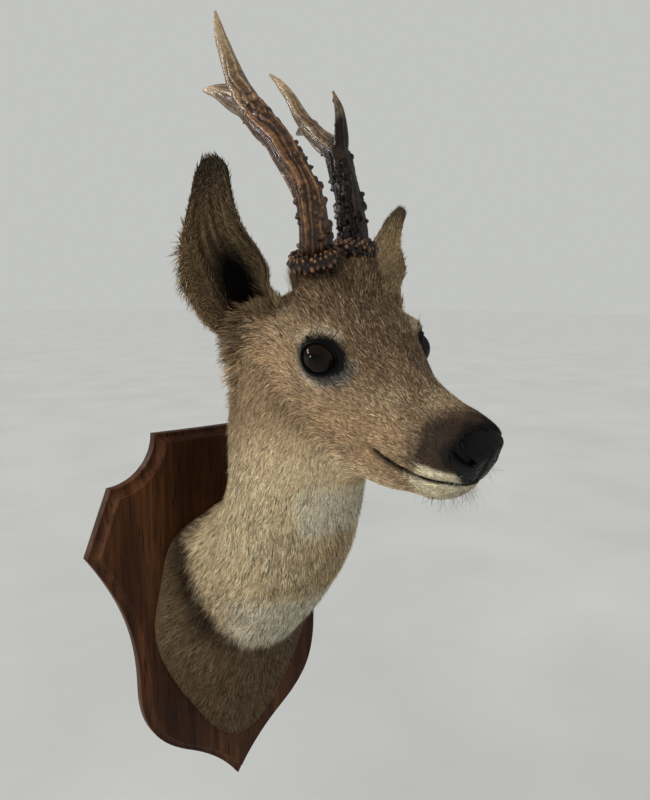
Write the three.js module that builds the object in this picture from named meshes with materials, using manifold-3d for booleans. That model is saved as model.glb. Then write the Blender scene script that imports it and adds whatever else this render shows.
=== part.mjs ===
// A roe deer's shoulder mount on a shield-shaped board: board, shoulders, neck, head, ears, eyes
// and a pair of pearled antlers. Millimetres. +Z is up, the deer looks towards -Y, +X is its left,
// and the origin lies on the board's back, where it meets the wall.
import * as THREE from 'three';
import { mergeVertices } from 'three/addons/utils/BufferGeometryUtils.js';
import Module from 'manifold-3d';

const wasm = await Module();
wasm.setup();

// ---------------------------------------------------------------- driving dimensions
const GAP = 0.3;

const BOARD = {
  tip: -200, belly: -68, bellyHalf: 100, shoulder: 63, shoulderHalf: 142, scoopFoot: 118, scoopFootHalf: 120,
  top: 159, topHalf: 76, crown: -1, squareEdge: 9, thickness: 16, mouldingWidth: 8,
};

const HEAD = {
  eyeLine: [-22, -201, 237],
  forward: [-0.209, -0.952, -0.222],
  left: [0.968, -0.234, 0.093],
};

const EYE = { forward: 4, side: 35, up: 2, tilt: 2, radius: 13 };

const EAR = { width: 66, wall: 5, cup: 17 };

const ANTLER = { coronaHeight: 9, beads: 17 };

const RINGS = 30;

// ---------------------------------------------------------------- small helpers
const vec = (a) => new THREE.Vector3(a[0], a[1], a[2]);
const clamp = (v, low, high) => Math.min(high, Math.max(low, v));
const mix = (a, b, t) => a + (b - a) * t;

/** Smooth step from 0 to 1 between two values. */
function ease(low, high, v) {
  const t = clamp((v - low) / (high - low), 0, 1);
  return t * t * (3 - 2 * t);
}

/** The lesser of two fields, rounded where they meet. */
function blend(a, b, radius) {
  const h = Math.max(radius - Math.abs(a - b), 0) / radius;
  return Math.min(a, b) - (h * h * radius) / 4;
}

/** A smooth curve through rows of [at, value, value, ...], read at one place. */
function along(rows, at) {
  const last = rows.length - 1;
  const v = clamp(at, rows[0][0], rows[last][0]);
  let k = 0;
  while (k < last - 1 && v > rows[k + 1][0]) k += 1;
  const span = rows[k + 1][0] - rows[k][0];
  const t = (v - rows[k][0]) / span;
  const slope = (i, c) => {
    const low = rows[Math.max(i - 1, 0)];
    const high = rows[Math.min(i + 1, last)];
    return (high[c] - low[c]) / (high[0] - low[0]);
  };
  return rows[k].slice(1).map((value, i) => {
    const c = i + 1;
    const end = rows[k + 1][c];
    const a = slope(k, c) * span;
    const b = slope(k + 1, c) * span;
    return value + t * (a + t * (3 * (end - value) - 2 * a - b + t * (a + b - 2 * (end - value))));
  });
}

/** A closed mesh from points and triangles. */
function solid(points, faces) {
  const geometry = new THREE.BufferGeometry();
  geometry.setAttribute('position', new THREE.Float32BufferAttribute(points.flat(), 3));
  geometry.setIndex(faces.flat());
  return geometry;
}

/** A closed tube of rings, each ring a list of points; its ends are closed by their middles. */
function loft(rings) {
  const count = rings[0].length;
  const points = rings.flat();
  const faces = [];
  for (let i = 0; i < rings.length - 1; i += 1) {
    for (let j = 0; j < count; j += 1) {
      const a = i * count + j;
      const b = i * count + ((j + 1) % count);
      faces.push([a, b, b + count], [a, b + count, a + count]);
    }
  }
  const middle = (ring) => [0, 1, 2].map((c) => ring.reduce((sum, p) => sum + p[c], 0) / count);
  const start = points.length;
  points.push(middle(rings[0]), middle(rings[rings.length - 1]));
  const lastRing = (rings.length - 1) * count;
  for (let j = 0; j < count; j += 1) {
    const next = (j + 1) % count;
    faces.push([start, next, j], [start + 1, lastRing + j, lastRing + next]);
  }
  return solid(points, faces);
}

/** The manifold solid of a geometry. */
function manifold(geometry) {
  const bare = geometry.clone();
  bare.deleteAttribute('normal');
  bare.deleteAttribute('uv');
  const merged = mergeVertices(bare, 1e-4);
  return new wasm.Manifold(new wasm.Mesh({
    numProp: 3,
    vertProperties: new Float32Array(merged.attributes.position.array),
    triVerts: new Uint32Array(merged.index.array),
  }));
}

/** The largest body of a manifold solid, as a geometry. */
function geometryOf(cut) {
  const bodies = cut.decompose().sort((a, b) => b.volume() - a.volume());
  const mesh = bodies[0].getMesh();
  const geometry = new THREE.BufferGeometry();
  geometry.setAttribute('position', new THREE.BufferAttribute(new Float32Array(mesh.vertProperties), 3));
  geometry.setIndex(new THREE.BufferAttribute(new Uint32Array(mesh.triVerts), 1));
  return geometry;
}

/** Geometries joined into one. */
const joined = (...parts) => geometryOf(parts.map(manifold).reduce((all, part) => all.add(part)));

/** A geometry with other solids taken out of it. */
const without = (geometry, ...cutters) => geometryOf(
  cutters.reduce((left, cutter) => left.subtract(manifold(cutter)), manifold(geometry)),
);

// ---------------------------------------------------------------- the head's own frame
const forward = vec(HEAD.forward).normalize();
const left = vec(HEAD.left).addScaledVector(forward, -forward.dot(vec(HEAD.left))).normalize();
const up = new THREE.Vector3().crossVectors(forward, left);
const eyeLine = vec(HEAD.eyeLine);

/** From the head's frame (forward, left, up from between the eyes) to the board's. */
const fromHead = ([x, y, z]) => eyeLine.clone()
  .addScaledVector(forward, x).addScaledVector(left, y).addScaledVector(up, z).toArray();

/** From the board's frame to the head's. */
function toHead(p) {
  const d = vec(p).sub(eyeLine);
  return [d.dot(forward), d.dot(left), d.dot(up)];
}

/** A direction in the head's frame, as one in the board's. */
const turned = (x, z) => forward.clone().multiplyScalar(x).addScaledVector(up, z).toArray();

// ---------------------------------------------------------------- flesh, out to the tips of the coat
// Head stations: forward, top, underside, half width, height of the widest place, narrowing below it,
// fullness of the roof above it.
const HEAD_STATIONS = [
  [-88, 12, -70, 42, -20, 0.20, 2.2],
  [-60, 28, -92, 48, -16, 0.30, 2.2],
  [-30, 36, -98, 49, -6, 0.42, 2.3],
  [0, 30, -96, 46, 0, 0.52, 2.2],
  [22, 22, -89, 38, -6, 0.50, 1.7],
  [45, 13, -82, 31, -16, 0.42, 1.35],
  [70, 5, -71, 25, -24, 0.30, 1.5],
  [95, 0, -64, 21, -26, 0.26, 1.9],
  [112, -3, -57, 19, -24, 0.30, 2.1],
  [133, -8, -48, 16.5, -24, 0.34, 2.1],
];
const HEAD_BACK = [-62, -98];
const HEAD_FRONT = [102, 129];
const LIP_SLOPE = 0.42;

// Swellings and hollows: place in the head's frame, size, height; each is mirrored left to right.
const SWELLINGS = [
  { at: [6, 43, 18], size: [17, 9, 8], height: 5 },
  { at: [5, 48, 2], size: [19, 12, 9.5], height: -6.5 },
  { at: [26, 36, -7], size: [9, 8, 6], height: -2 },
  { at: [-28, 46, -42], size: [30, 18, 28], height: 4 },
  { at: [14, 40, -22], size: [24, 12, 10], height: 3 },
  { at: [116, 12, -13], size: [9, 8, 8], height: 2.5 },
  { at: [94, 17, -40], size: [18, 9, 8], height: 2 },
  { at: [70, 16, -3], size: [26, 7, 7], height: 1 },
  { at: [-42, 0, 42], size: [15, 15, 14], height: 9 },
];
const PEDICLE = { foot: [-30, 14, 20], head: [-43, 18.5, 45], radius: 15.5, blend: 22 };
const EAR_ROOT = { foot: [-60, 34, 0], head: [-66, 46, 6], radius: 17, blend: 22 };

// Neck stations: turn about the nape's bend, inner radius, outer radius, half width, sideways shift.
const NECK_BEND = [0, 170];
const NECK_STATIONS = [
  [2, 92, 312, 30, 0],
  [6, 90, 280, 52, 0],
  [12, 87, 243, 62, 0],
  [20, 80, 217, 65, 0],
  [30, 74, 202, 64, -1],
  [46, 68, 186, 62, -3],
  [62, 63, 178, 59, -6],
  [80, 60, 176, 59, -10],
  [100, 68, 180, 61, -13],
  [116, 94, 190, 58, -14],
  [128, 138, 200, 52, -14],
];
const NECK_END = [104, 130];
const NECK_BLEND = 26;

const SHOULDER = { height: -27, half: 92, halfHeight: 112, depth: 34, narrowing: 0.3, blend: 22 };

/** Distance to a rounded rod from the solid's frame. */
function rod(p, foot, head, radius) {
  const axis = vec(head).sub(vec(foot));
  const rel = vec(p).sub(vec(foot));
  const t = clamp(rel.dot(axis) / axis.lengthSq(), 0, 1);
  return rel.addScaledVector(axis, -t).length() - radius;
}

/** The head's field: below nought inside. */
function headField(p) {
  const [x, side, z] = toHead(p);
  const y = Math.abs(side);
  const [top, under, half, widest, taper, roof] = along(HEAD_STATIONS, x);
  const t = z > widest ? (z - widest) / (top - widest) : (widest - z) / (widest - under);
  const width = z > widest ? half : half * (1 - taper * Math.min(t, 1.2));
  const fullness = z > widest ? roof : 2.3;
  const q = ((y / width) ** fullness + t ** fullness) ** (1 / fullness);
  const back = clamp((x - HEAD_BACK[0]) / (HEAD_BACK[1] - HEAD_BACK[0]), 0, 0.995);
  const lip = x - LIP_SLOPE * Math.min(0, z + 15);
  const front = clamp((lip - HEAD_FRONT[0]) / (HEAD_FRONT[1] - HEAD_FRONT[0]), 0, 0.995);
  const ends = Math.sqrt(1 - back * back) * (1 - front ** 2.6) ** (1 / 2.6);
  let f = (q / ends - 1) * half;
  f = blend(f, rod([x, y, z], PEDICLE.foot, PEDICLE.head, PEDICLE.radius), PEDICLE.blend);
  f = blend(f, rod([x, y, z], EAR_ROOT.foot, EAR_ROOT.head, EAR_ROOT.radius), EAR_ROOT.blend);
  for (const { at, size, height } of SWELLINGS) {
    const r2 = ((x - at[0]) / size[0]) ** 2 + ((y - at[1]) / size[1]) ** 2 + ((z - at[2]) / size[2]) ** 2;
    f -= height * Math.exp(-r2);
  }
  return f;
}

/** The neck's field, in turns about the bend of the nape. */
function neckField([x, y, z]) {
  const drop = NECK_BEND[1] - z;
  const turn = THREE.MathUtils.radToDeg(Math.atan2(NECK_BEND[0] - y, drop));
  const radius = Math.hypot(NECK_BEND[0] - y, drop);
  const [inner, outer, half, shift] = along(NECK_STATIONS, turn);
  const middle = (inner + outer) / 2;
  const depth = (outer - inner) / 2;
  const q = Math.hypot((x - shift) / half, (radius - middle) / depth);
  const end = clamp((turn - NECK_END[0]) / (NECK_END[1] - NECK_END[0]), 0, 0.995);
  return (q / Math.sqrt(1 - end * end) - 1) * Math.min(half, depth);
}

/** The low, broad shoulders that spread on the board. */
function shoulderField([x, y, z]) {
  const low = ease(0, 1.2 * SHOULDER.halfHeight, SHOULDER.height + 30 - z);
  const half = SHOULDER.half * (1 - SHOULDER.narrowing * low);
  const q = Math.hypot(x / half, (z - SHOULDER.height) / SHOULDER.halfHeight,
    (y + BOARD.thickness) / SHOULDER.depth);
  return (q - 1) * SHOULDER.depth * 1.5;
}

/** The whole deer's field. */
function fleshField(p) {
  const body = blend(neckField(p), shoulderField(p), SHOULDER.blend);
  return blend(body, headField(p), NECK_BLEND);
}

// Stations of the line that runs through the flesh: middle, heading, and way to the left.
const LINE = [
  { middle: [0, -BOARD.thickness - GAP, -25], heading: [0, -1, 0], left: [1, 0, 0] },
  { middle: [0, -45, 10], heading: [0, -0.970, 0.242], left: [1, 0, 0] },
  { middle: [-3, -85, 75], heading: [0, -0.588, 0.808], left: [1, 0, 0] },
  { middle: [-7, -115, 140], heading: turned(0.2, 0.98), left: HEAD.left },
  { middle: fromHead([-38, 0, -20]), heading: turned(0.82, 0.57), left: HEAD.left },
  { middle: fromHead([0, 0, -25]), heading: turned(0.94, 0.34), left: HEAD.left },
  { middle: fromHead([50, 0, -27]), heading: turned(1, 0), left: HEAD.left },
  { middle: fromHead([108, 0, -25]), heading: turned(1, 0), left: HEAD.left },
];
const ROWS_PER_STATION = [4, 5, 5, 6, 10, 6, 6];
const CUTS = { shoulders: 1.55, head: 3.55 };
const NOSE_ROWS = 5;

const middles = new THREE.CatmullRomCurve3(LINE.map((s) => vec(s.middle)), false, 'catmullrom');
const headings = new THREE.CatmullRomCurve3(LINE.map((s) => vec(s.heading)), false, 'catmullrom');
const lefts = new THREE.CatmullRomCurve3(LINE.map((s) => vec(s.left)), false, 'catmullrom');

/** The cutting plane at a place along the line, moved along its heading by a small step. */
function planeAt(place, step = 0) {
  const t = clamp(place / (LINE.length - 1), 0, 1);
  const heading = headings.getPoint(t).normalize();
  const side = lefts.getPoint(t);
  side.addScaledVector(heading, -side.dot(heading)).normalize();
  const over = new THREE.Vector3().crossVectors(heading, side);
  return { middle: middles.getPoint(t).addScaledVector(heading, step), heading, side, over };
}

/** How far a ray goes from inside the flesh to its surface. */
function reach(origin, direction, level) {
  const at = (distance) => fleshField(origin.clone().addScaledVector(direction, distance).toArray()) - level;
  let outside = 3;
  while (at(outside) < 0 && outside < 260) outside += 3;
  let inside = outside - 3;
  for (let i = 0; i < 14; i += 1) {
    const half = (inside + outside) / 2;
    if (at(half) < 0) inside = half;
    else outside = half;
  }
  return inside;
}

/** One ring of the surface, in a plane or leaning forward of it by a lean angle. */
function ringAt(plane, level = 0, lean = 0) {
  const ring = [];
  for (let j = 0; j < RINGS; j += 1) {
    const angle = (2 * Math.PI * j) / RINGS;
    const direction = plane.side.clone().multiplyScalar(Math.cos(angle))
      .addScaledVector(plane.over, Math.sin(angle))
      .multiplyScalar(Math.cos(lean))
      .addScaledVector(plane.heading, Math.sin(lean));
    const distance = reach(plane.middle, direction, level);
    ring.push(plane.middle.clone().addScaledVector(direction, distance).toArray());
  }
  return ring;
}

/** A length of the flesh between two places on its line, with flat ends half a gap short of them. */
function fleshBetween(from, to, level = 0) {
  const places = ROWS_PER_STATION.flatMap((rows, k) => Array.from({ length: rows }, (_, i) => k + i / rows));
  const inner = places.filter((place) => place > from + 0.05 && place < to - 0.05);
  const rings = [ringAt(planeAt(from, from > 0 ? GAP / 2 : 0), level)];
  rings.push(...inner.map((place) => ringAt(planeAt(place), level)));
  rings.push(ringAt(planeAt(to, to < LINE.length - 1 ? -GAP / 2 : 0), level));
  if (to === LINE.length - 1) {
    for (let i = 1; i < NOSE_ROWS; i += 1) {
      rings.push(ringAt(planeAt(to), level, (Math.PI / 2) * (i / NOSE_ROWS)));
    }
  }
  return loft(rings);
}

// ---------------------------------------------------------------- board
/** Half of the board's outline, from the tip round to the middle of the top. */
function boardOutline() {
  const b = BOARD;
  const shape = new THREE.Shape();
  shape.moveTo(0, b.tip);
  shape.bezierCurveTo(9, b.tip + 13, 22, b.tip + 32, 54, b.tip + 52);
  shape.bezierCurveTo(86, b.tip + 72, b.bellyHalf, b.belly - 38, b.bellyHalf, b.belly);
  shape.bezierCurveTo(b.bellyHalf, b.belly + 50, b.shoulderHalf - 30, b.shoulder - 46, b.shoulderHalf, b.shoulder);
  shape.lineTo(b.scoopFootHalf, b.scoopFoot);
  const scoop = b.top - b.scoopFoot;
  shape.absarc(b.scoopFootHalf, b.top, scoop, -Math.PI / 2, -Math.PI, true);
  shape.quadraticCurveTo(b.topHalf / 2, b.top + b.crown, 0, b.top + b.crown);
  const half = shape.getPoints(6);
  const mirrored = half.slice(1, -1).reverse().map((p) => new THREE.Vector2(-p.x, p.y));
  return [...half, ...mirrored];
}

/** An outline moved inwards by a distance, its corners mitred. */
function inset(outline, distance) {
  return outline.map((point, i) => {
    const before = outline[(i + outline.length - 1) % outline.length];
    const after = outline[(i + 1) % outline.length];
    const a = point.clone().sub(before).normalize();
    const b = after.clone().sub(point).normalize();
    const normal = new THREE.Vector2(-a.y - b.y, a.x + b.x).normalize();
    const mitre = Math.max(0.5, normal.dot(new THREE.Vector2(-a.y, a.x)));
    return point.clone().addScaledVector(normal, distance / mitre);
  });
}

/** The board: a square edge, a small step and a wave moulding up to its flat face. */
function board() {
  const b = BOARD;
  const outline = boardOutline().filter((p, i, all) => i === 0 || p.distanceTo(all[i - 1]) > 0.5);
  const rise = b.thickness - b.squareEdge;
  const profile = [[0.8, 0], [0, 0.8], [0, b.squareEdge - 0.6], [0.6, b.squareEdge]];
  for (let i = 1; i <= 5; i += 1) {
    const t = i / 5;
    const wave = t - Math.sin(2 * Math.PI * t) / (2 * Math.PI) * 0.7;
    profile.push([mix(1.6, b.mouldingWidth, t), b.squareEdge + rise * wave]);
  }
  const rings = profile.map(([inwards, height]) => inset(outline, inwards).map((p) => [p.x, -height, p.y]));
  const count = outline.length;
  const points = rings.flat();
  const faces = [];
  for (let i = 0; i < rings.length - 1; i += 1) {
    for (let j = 0; j < count; j += 1) {
      const a = i * count + j;
      const c = i * count + ((j + 1) % count);
      faces.push([a, c, c + count], [a, c + count, a + count]);
    }
  }
  const back = THREE.ShapeUtils.triangulateShape(rings[0].map((p) => new THREE.Vector2(p[0], p[2])), []);
  const faceStart = (rings.length - 1) * count;
  const last = rings[rings.length - 1];
  const face = THREE.ShapeUtils.triangulateShape(last.map((p) => new THREE.Vector2(p[0], p[2])), []);
  faces.push(...back.map(([i, j, k]) => [i, k, j]));
  faces.push(...face.map(([i, j, k]) => [faceStart + i, faceStart + j, faceStart + k]));
  return solid(points, faces);
}

// ---------------------------------------------------------------- ears
// From root to tip: how wide the ear is, as a share of its width, and how far it sways outwards.
const EAR_OUTLINE = [
  [0, 0.74, 0],
  [0.12, 0.84, 7],
  [0.25, 0.87, 12],
  [0.38, 0.97, 12],
  [0.5, 0.88, 12.5],
  [0.62, 0.74, 12.5],
  [0.74, 0.62, 10],
  [0.85, 0.46, 5],
  [0.94, 0.32, 1.5],
  [1, 0.12, 0],
];

const DISH = 0.72;

/** A cupped ear: root and tip in the head's frame, the way its hollow faces, and its width. */
function ear(root, tip, facing, width) {
  const rows = 13;
  const columns = 8;
  const foot = vec(fromHead(root));
  const axis = vec(fromHead(tip)).sub(foot);
  const face = vec(fromHead(facing)).sub(eyeLine);
  face.addScaledVector(axis, -face.dot(axis) / axis.lengthSq()).normalize();
  const across = new THREE.Vector3().crossVectors(axis, face).normalize();
  const pointAt = (t, u, side) => {
    const [share, sway] = along(EAR_OUTLINE, t);
    const half = (width / 2) * share;
    const curl = mix(1.9, 0.75, ease(0, 0.75, t));
    const full = Math.sin(Math.min(curl, Math.PI / 2));
    const bow = (half * Math.sin(u * curl)) / full;
    const sink = half * (Math.cos(u * curl) - Math.cos(curl)) * DISH;
    const normal = new THREE.Vector2(-DISH * Math.sin(u * curl), Math.cos(u * curl) / full).normalize();
    const wall = side * (EAR.wall * (1 - u ** 4) * Math.min(1, 12 * (1 - t)) / 2 + 0.35);
    return foot.clone().addScaledVector(axis, t)
      .addScaledVector(across, bow + Math.sign(root[1]) * sway + normal.x * wall)
      .addScaledVector(face, EAR.cup * 0.3 - sink + normal.y * wall)
      .toArray();
  };
  const row = (t, side) => Array.from({ length: columns + 1 }, (_, j) => pointAt(t, (2 * j) / columns - 1, side));
  const rings = Array.from({ length: rows + 1 }, (_, i) => [...row(i / rows, 1), ...row(i / rows, -1).reverse()]);
  const count = 2 * columns + 2;
  const faces = [];
  for (let i = 0; i < rows; i += 1) {
    for (let j = 0; j < count; j += 1) {
      const a = i * count + j;
      const b = i * count + ((j + 1) % count);
      faces.push([a, b, b + count], [a, b + count, a + count]);
    }
  }
  const tipRing = rows * count;
  for (let j = 0; j < columns; j += 1) {
    const [a, b, c, d] = [j, j + 1, count - 2 - j, count - 1 - j];
    faces.push([a, c, b], [a, d, c]);
    faces.push([tipRing + a, tipRing + b, tipRing + c], [tipRing + a, tipRing + c, tipRing + d]);
  }
  return solid(rings.flat(), faces);
}

// ---------------------------------------------------------------- antlers
/** A rough, pearled rod along a curve: radius and pearl height change along it. */
function antlerRod(points, radii, pearl, sides = 12, rows = 14, phase = 0) {
  const curve = new THREE.CatmullRomCurve3(points.map((p) => vec(fromHead(p))), false, 'centripetal');
  const frames = curve.computeFrenetFrames(rows, false);
  const rings = [];
  for (let i = 0; i <= rows; i += 1) {
    const t = i / rows;
    const middle = curve.getPointAt(t);
    const radius = along(radii, t)[0];
    rings.push(Array.from({ length: sides }, (_, j) => {
      const angle = (2 * Math.PI * j) / sides;
      const bump = 1 + pearl * (1 - t) * Math.sin(angle * 5 + i * 2.4 + phase) * Math.sin(i * 1.9 + angle * 2);
      return middle.clone()
        .addScaledVector(frames.normals[i], Math.cos(angle) * radius * bump)
        .addScaledVector(frames.binormals[i], Math.sin(angle) * radius * bump)
        .toArray();
    }));
  }
  return loft(rings);
}

/** The beaded ring at an antler's foot. */
function corona({ middle, axis, size }) {
  const sides = ANTLER.beads * 2;
  const way = vec(axis).normalize();
  const across = vec([0, 1, 0]).addScaledVector(way, -way.y).normalize();
  const over = new THREE.Vector3().crossVectors(way, across);
  const profile = [[0.62, -0.5], [0.93, -0.42], [1.0, 0], [0.9, 0.4], [0.6, 0.5]];
  const rings = profile.map(([out, height]) => Array.from({ length: sides }, (_, j) => {
    const angle = (2 * Math.PI * j) / sides;
    const radius = size * out * (1 + (out > 0.8 ? 0.045 * (j % 2 ? 1 : -1) : 0));
    const p = vec(middle).addScaledVector(way, height * ANTLER.coronaHeight)
      .addScaledVector(across, Math.cos(angle) * radius).addScaledVector(over, Math.sin(angle) * radius);
    return fromHead(p.toArray());
  }));
  return loft(rings);
}

const RIGHT_BEAM = [[-40, -20, 62], [-36, -21.5, 74], [-38, -23, 90], [-46, -25, 104], [-72, -28.5, 126],
  [-96, -30.5, 140], [-118, -33, 152]];
const RIGHT_TOP = [[-118, -33, 152], [-135, -34.5, 165], [-146, -35.5, 180], [-160, -37, 198], [-167, -38, 214]];
const RIGHT_REAR = [[-112, -32, 149], [-140, -38, 157], [-155, -43, 161], [-168, -48, 162]];
const RIGHT_FRONT = [[-98, -31, 142], [-90, -33, 149], [-88, -34, 155]];
const LEFT_BEAM = [[-51, 20, 62], [-57, 21, 74], [-62, 21.5, 84], [-70, 22, 97], [-77, 22.5, 108],
  [-86, 22.5, 121]];
const LEFT_TOP = [[-86, 22.5, 121], [-113, 21, 131], [-140, 19.5, 146], [-156, 19, 158], [-178, 18, 171],
  [-193, 17, 177]];
const LEFT_FRONT = [[-85, 22.5, 118], [-85, 24, 133], [-90, 24.5, 150], [-99, 24, 163]];
const LEFT_REAR = [[-126, 20.5, 139], [-138, 21, 136], [-150, 21, 133]];

// ---------------------------------------------------------------- assembly
const mount = new THREE.Group();

/** Adds one named piece with its own colour and finish. */
function add(name, geometry, colour, roughness) {
  const material = new THREE.MeshStandardMaterial({ color: colour, roughness, metalness: 0 });
  const mesh = new THREE.Mesh(geometry, material);
  mesh.name = name;
  mount.add(mesh);
}

const COAT = 0x9a8467;
const EAR_COAT = 0x6b5a44;
const HORN = 0x4a2c1c;
const TIP = 0xb59a76;

const end = LINE.length - 1;
const headGrown = fleshBetween(3.0, end, GAP);
const eyeAt = (sign) => fromHead([EYE.forward, sign * EYE.side, EYE.up - sign * EYE.tilt]);

/** A ball in the board's frame. */
function ball(centre, radius) {
  return new THREE.SphereGeometry(radius, 15, 8).translate(...centre);
}

/** The nose pad's cutter: a rounded block over the front of the muzzle. */
function noseCutter(grow) {
  const [x, y, z] = fromHead([124, 0, -15]);
  return new THREE.SphereGeometry(1, 14, 8).scale(20 + grow, 20 + grow, 17.5 + grow).translate(x, y, z);
}

const sockets = [1, -1].map((sign) => ball(eyeAt(sign), EYE.radius + GAP));
const wholeHead = without(fleshBetween(CUTS.head, end), ...sockets);
const nosePad = geometryOf(manifold(wholeHead).intersect(manifold(noseCutter(0))));

add('board', board(), 0x4b2a1a, 0.45);
add('shoulders', fleshBetween(0, CUTS.shoulders), COAT, 0.95);
add('neck', fleshBetween(CUTS.shoulders, CUTS.head), COAT, 0.95);
add('head', without(wholeHead, noseCutter(GAP)), COAT, 0.95);
add('nose_pad', nosePad, 0x15110f, 0.35);
add('eye_right', ball(eyeAt(-1), EYE.radius), 0x0c0806, 0.05);
add('eye_left', ball(eyeAt(1), EYE.radius), 0x0c0806, 0.05);

const rightEar = ear([-62, -50, 2], [-80, -75, 121], [0.74, -0.62, 0.1], EAR.width);
const leftEar = ear([-62, 50, 2], [-118, 97, 81], [-0.05, 0.85, -0.53], EAR.width - 4);
add('ear_right', without(rightEar, headGrown), EAR_COAT, 0.95);
add('ear_left', without(leftEar, headGrown), EAR_COAT, 0.95);

/** A corona a little larger than its own size, to cut its neighbours clear of it. */
const grown = (beads) => corona({ ...beads, size: beads.size + GAP });

const RIGHT_CORONA = { middle: [-39, -19.6, 57.5], axis: [0.02, -0.28, 1], size: 18.5 };
const LEFT_CORONA = { middle: [-50, 18, 60], axis: [-0.2, 0.1, 1], size: 17 };
const rightCorona = corona(RIGHT_CORONA);
const leftCorona = corona(LEFT_CORONA);
add('antler_right_corona', without(rightCorona, headGrown), HORN, 0.6);
add('antler_left_corona', without(leftCorona, headGrown, grown(RIGHT_CORONA)), HORN, 0.6);

const rightStub = antlerRod(RIGHT_FRONT, [[0, 6], [0.5, 5.5], [1, 2.5]], 0, 8, 4);
const rightRod = antlerRod(RIGHT_BEAM, [[0, 10.4], [0.25, 10], [0.6, 9.8], [0.85, 10.5], [1, 10]], 0.16);
const rightBeam = joined(rightRod, rightStub);
const leftBeam = antlerRod(LEFT_BEAM, [[0, 10.6], [0.4, 9.6], [0.8, 9.8], [1, 9.6]], 0.16, 12, 12, 1);
add('antler_right_beam', without(rightBeam, headGrown, grown(RIGHT_CORONA)), HORN, 0.5);
add('antler_left_beam', without(leftBeam, headGrown, grown(LEFT_CORONA)), HORN, 0.5);

const rightTop = antlerRod(RIGHT_TOP, [[0, 10], [0.3, 8.4], [0.6, 6], [0.85, 3.8], [1, 1.2]], 0.03, 10, 10);
const leftStub = antlerRod(LEFT_REAR, [[0, 5.5], [0.6, 4], [1, 1.5]], 0, 8, 4);
const leftRod = antlerRod(LEFT_TOP, [[0, 9.6], [0.25, 7.6], [0.6, 5], [0.85, 3.2], [1, 1.2]], 0.03, 10, 12);
const leftTop = joined(leftRod, leftStub);
add('antler_right_top', without(rightTop, rightBeam), TIP, 0.45);
add('antler_left_top', without(leftTop, leftBeam), TIP, 0.45);

const rightRear = antlerRod(RIGHT_REAR, [[0, 6], [0.4, 6], [0.75, 3.6], [1, 1.1]], 0.02, 8, 7);
const leftFront = antlerRod(LEFT_FRONT, [[0, 6.5], [0.35, 5], [0.7, 3.4], [1, 1]], 0.05, 8, 8);
add('antler_right_rear_tine', without(rightRear, rightBeam, rightTop), TIP, 0.45);
add('antler_left_front_tine', without(leftFront, leftBeam, leftTop), TIP, 0.45);

export default mount;
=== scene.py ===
"""A roe deer's shoulder mount on its shield board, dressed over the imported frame.

The deer looks out of the wall along -Y, +Z runs up the wall and +X is the deer's left. Sizes are
written in millimetres and become metres as each mesh is made.
"""

from __future__ import annotations

import logging
from collections.abc import Callable
from dataclasses import dataclass, field, replace
from enum import Enum
from functools import reduce

import bpy
import numpy as np
from mathutils import Matrix


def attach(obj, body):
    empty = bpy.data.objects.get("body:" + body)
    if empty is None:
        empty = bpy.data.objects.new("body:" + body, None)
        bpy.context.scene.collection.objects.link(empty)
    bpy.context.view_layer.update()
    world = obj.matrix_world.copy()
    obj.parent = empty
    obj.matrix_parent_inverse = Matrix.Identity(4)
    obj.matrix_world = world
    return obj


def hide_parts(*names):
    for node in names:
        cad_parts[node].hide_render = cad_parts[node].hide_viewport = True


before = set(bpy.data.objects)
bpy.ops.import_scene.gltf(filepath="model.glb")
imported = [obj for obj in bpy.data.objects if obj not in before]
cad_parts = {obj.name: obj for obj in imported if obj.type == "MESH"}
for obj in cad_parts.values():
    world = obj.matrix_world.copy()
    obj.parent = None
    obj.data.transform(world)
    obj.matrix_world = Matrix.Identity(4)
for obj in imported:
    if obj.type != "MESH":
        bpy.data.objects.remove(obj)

LOG = logging.getLogger("roe_mount")
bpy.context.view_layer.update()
MM = 0.001
TAU = 2 * np.pi
Array = np.ndarray
Place = tuple[float, float, float]
Colour = tuple[float, float, float]
Material = bpy.types.Material
Piece = bpy.types.Object
Socket = bpy.types.NodeSocket
Paint = Callable[[Colour, Array], None]
Chance = np.random.Generator


# ---- helpers for whole arrays
def unit(vectors: Array) -> Array:
    """Vectors scaled to length one along their last axis."""
    return np.asarray(vectors, float) / np.maximum(np.linalg.norm(vectors, axis=-1, keepdims=True), 1e-9)


def ease(low: float, high: float, value: Array) -> Array:
    """Smooth step from 0 to 1 between two values: t * t * (3 - 2 t)."""
    t = np.clip((np.asarray(value, float) - low) / (high - low), 0, 1)
    return t * t * (3 - 2 * t)


def mix(a: Array, b: Array, t: Array) -> Array:
    """The straight mix a + (b - a) t."""
    return a + (np.asarray(b) - a) * t


def bump(distance: Array, width: float) -> Array:
    """A round hill of height one: exp(-(distance / width) squared)."""
    return np.exp(-((distance / width) ** 2))


def hill(points: Array, at: Place, size: Place) -> Array:
    """A round hill of height one in space: exp(-|offset / size| squared)."""
    return np.exp(-(((points - np.array(at)) / size) ** 2).sum(-1))


def folded(points: Array) -> Array:
    """Points of the head with its right half laid over its left: |y| in place of y."""
    return np.stack([points[..., 0], np.abs(points[..., 1]), points[..., 2]], -1)


def square_to(vectors: Array, axis: Array) -> Array:
    """Ways of length one, square to an axis of length one: the part along it is taken out."""
    return unit(vectors - (vectors * axis).sum(-1, keepdims=True) * axis)


def radial(angle: Array, right: Array, over: Array) -> Array:
    """Ways round an axis: cos(angle) right + sin(angle) over."""
    return np.cos(angle)[..., None] * right + np.sin(angle)[..., None] * over


def hermite(start: Array, rise: Array, leave: Array, arrive: Array, t: Array) -> Array:
    """A cubic from a start over a rise, with its slope at either end, at shares t of the way."""
    return start + t * (leave + t * (3 * rise - 2 * leave - arrive + t * (leave + arrive - 2 * rise)))


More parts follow.
